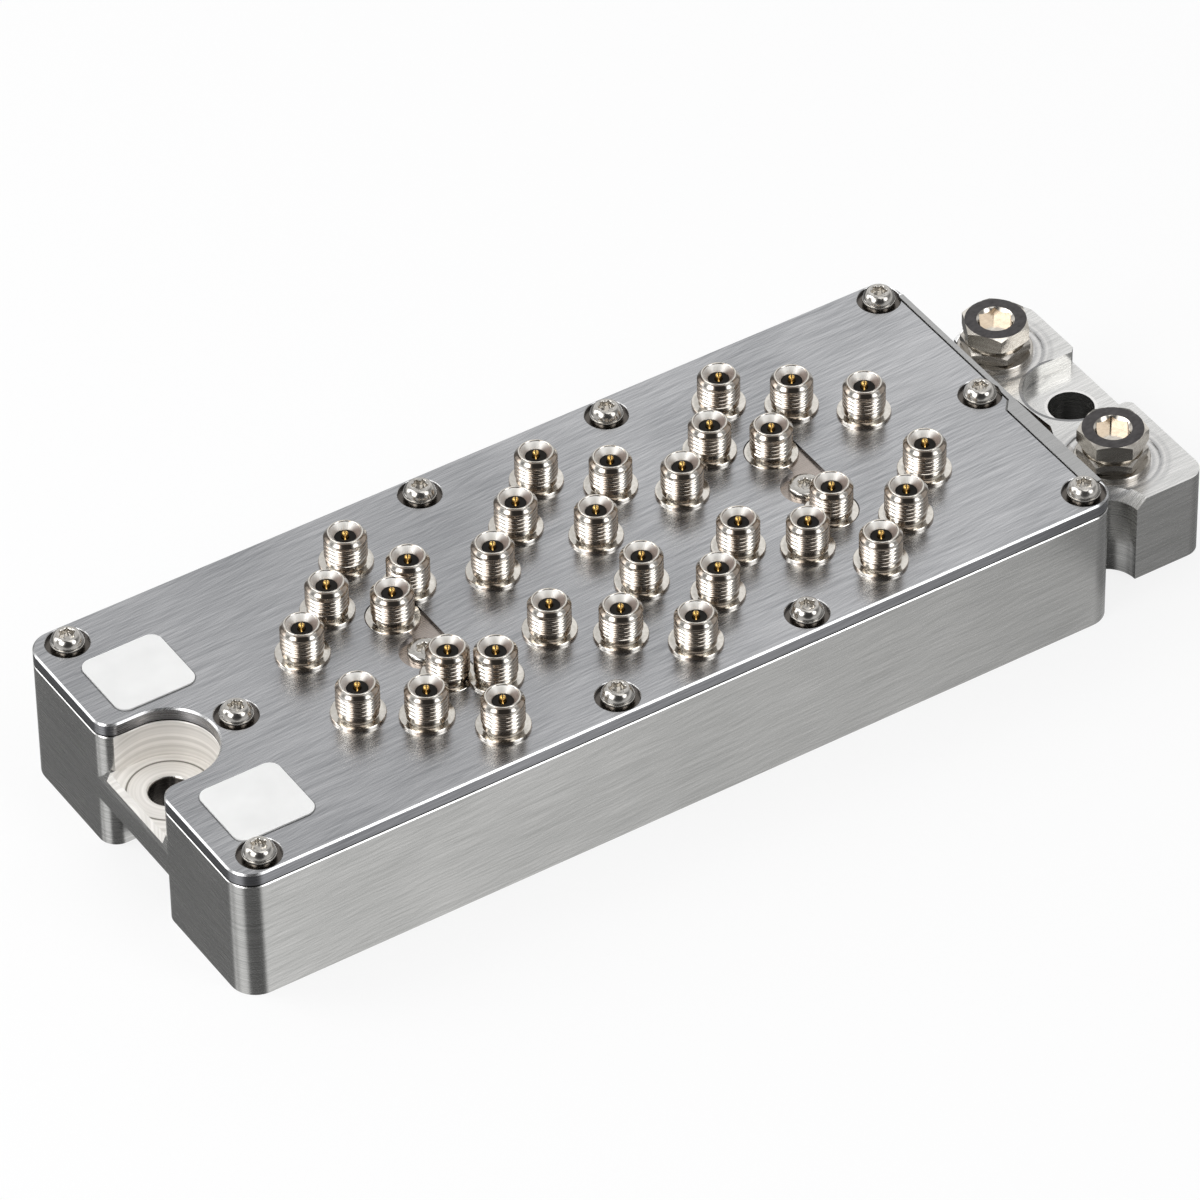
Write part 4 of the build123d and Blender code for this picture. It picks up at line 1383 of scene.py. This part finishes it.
def set_world(scene):
    """White to the camera; to the metal a grey room with a pale horizon, soft discs and cards."""
    room_grey, horizon = 0.24, 0.42
    world = bpy.data.worlds.new("room")
    scene.world = world
    world.use_nodes = True
    hand = Tree(world.node_tree)
    nodes = world.node_tree.nodes
    where = hand.node("ShaderNodeTexCoord")
    look = hand.node("ShaderNodeVectorMath", "direction", operation="NORMALIZE")
    hand.link(where.outputs["Generated"], look.inputs[0])
    look = look.outputs[0]
    x, y, height = hand.split(look)
    level = hand.plus(room_grey, hand.remap(height, 0.20, 0.42, horizon, 0.0, smooth=True))
    for disc, brightness in BRIGHT_DISCS:
        level = hand.plus(level, hand.times(sky_disc(hand, look, *disc), brightness))
    level = hand.times(level, hand.remap(sky_disc(hand, look, *DARK_DISC), 0.0, 1.0, 1.0, 0.22))
    cards = hand.node("ShaderNodeValToRGB", "cards")
    ramp = cards.color_ramp
    while len(ramp.elements) < len(CARDS):
        ramp.elements.new(0.5)
    for element, (angle, value) in zip(ramp.elements, CARDS):
        element.position = angle / 360
        element.color = (value, value, value, 1.0)
    share = hand.math("FRACT", hand.plus(hand.math("DIVIDE", hand.math("ARCTAN2", y, x), 2 * math.pi), 1.0))
    hand.link(share, cards.inputs[0])
    above = hand.over(height, 0.0)
    level = hand.plus(hand.times(level, above), hand.times(cards.outputs[0], hand.minus(1.0, above)))
    background = nodes["Background"]
    set_inputs(background, Color=(0.985, 0.99, 1.0, 1.0))
    hand.link(level, background.inputs["Strength"])
    white = hand.node("ShaderNodeBackground")
    set_inputs(white, Color=WHITE)
    rays = hand.node("ShaderNodeLightPath")
    mix = hand.mix_shaders(rays.outputs["Is Camera Ray"], background, white)
    hand.link(mix.outputs[0], nodes["World Output"].inputs[0])


class FILTERBLOCK_OT_stage(bpy.types.Operator):
    """Sets the floor, the lights, the world and the camera"""

    bl_idname = "filterblock.stage"
    bl_label = "Stage"

    def execute(self, context):
        scene = context.scene
        scene.view_settings.view_transform = "Standard"
        set_camera(scene)
        data = bpy.data.meshes.new("floor")
        signs = ((-1, -1), (1, -1), (1, 1), (-1, 1))
        corners = [(x * FLOOR_HALF_WIDTH, y * FLOOR_HALF_WIDTH, 0) for x, y in signs]
        data.from_pydata(corners, [], [(0, 1, 2, 3)])
        floor = bpy.data.objects.new("floor", data)
        floor.location.z = -FLOOR_DROP
        scene.collection.objects.link(floor)
        data.materials.append(floor_finish(scene.filter_stage.floor_colour))
        set_world(scene)
        for lamp in LAMPS:
            area_light(*lamp)
        return {"FINISHED"}


class FILTERBLOCK_PT_panel(bpy.types.Panel):
    """Lists the pieces in the sidebar"""

    bl_idname = "FILTERBLOCK_PT_panel"
    bl_label = "Filter block"
    bl_space_type = "VIEW_3D"
    bl_region_type = "UI"
    bl_category = "Filter block"

    def draw(self, context):
        for group in ("filter_block", "filter_jacks", "filter_screws", "filter_plugs", "filter_stage"):
            sizes = getattr(context.scene, group)
            box = self.layout.box()
            for key in sizes.__annotations__:
                box.prop(sizes, key)
        for step in STEPS:
            self.layout.operator(step)


PROPERTY_GROUPS = {
    "filter_block": FilterBlockSizes,
    "filter_jacks": JackSizes,
    "filter_screws": ScrewSizes,
    "filter_plugs": PlugSizes,
    "filter_stage": StageSizes,
}
OPERATORS = (
    FILTERBLOCK_OT_stage,
    FILTERBLOCK_OT_housing,
    FILTERBLOCK_OT_lid,
    FILTERBLOCK_OT_jacks,
    FILTERBLOCK_OT_screws,
    FILTERBLOCK_OT_plugs,
    FILTERBLOCK_OT_labels,
    FILTERBLOCK_OT_inside,
)
STEPS = [operator.bl_idname for operator in OPERATORS]


def register():
    """Registers the classes and hangs the sizes on the scene."""
    for name, group in PROPERTY_GROUPS.items():
        bpy.utils.register_class(group)
        setattr(bpy.types.Scene, name, bpy.props.PointerProperty(type=group))
    for operator in OPERATORS:
        bpy.utils.register_class(operator)
    bpy.utils.register_class(FILTERBLOCK_PT_panel)


def unregister():
    """Takes the classes and sizes away again."""
    bpy.utils.unregister_class(FILTERBLOCK_PT_panel)
    for operator in reversed(OPERATORS):
        bpy.utils.unregister_class(operator)
    for name, group in PROPERTY_GROUPS.items():
        delattr(bpy.types.Scene, name)
        bpy.utils.unregister_class(group)


def main():
    """Builds everything in order."""
    register()
    for step in STEPS:
        group, name = step.split(".")
        getattr(getattr(bpy.ops, group), name)()


if __name__ == "__main__":
    main()
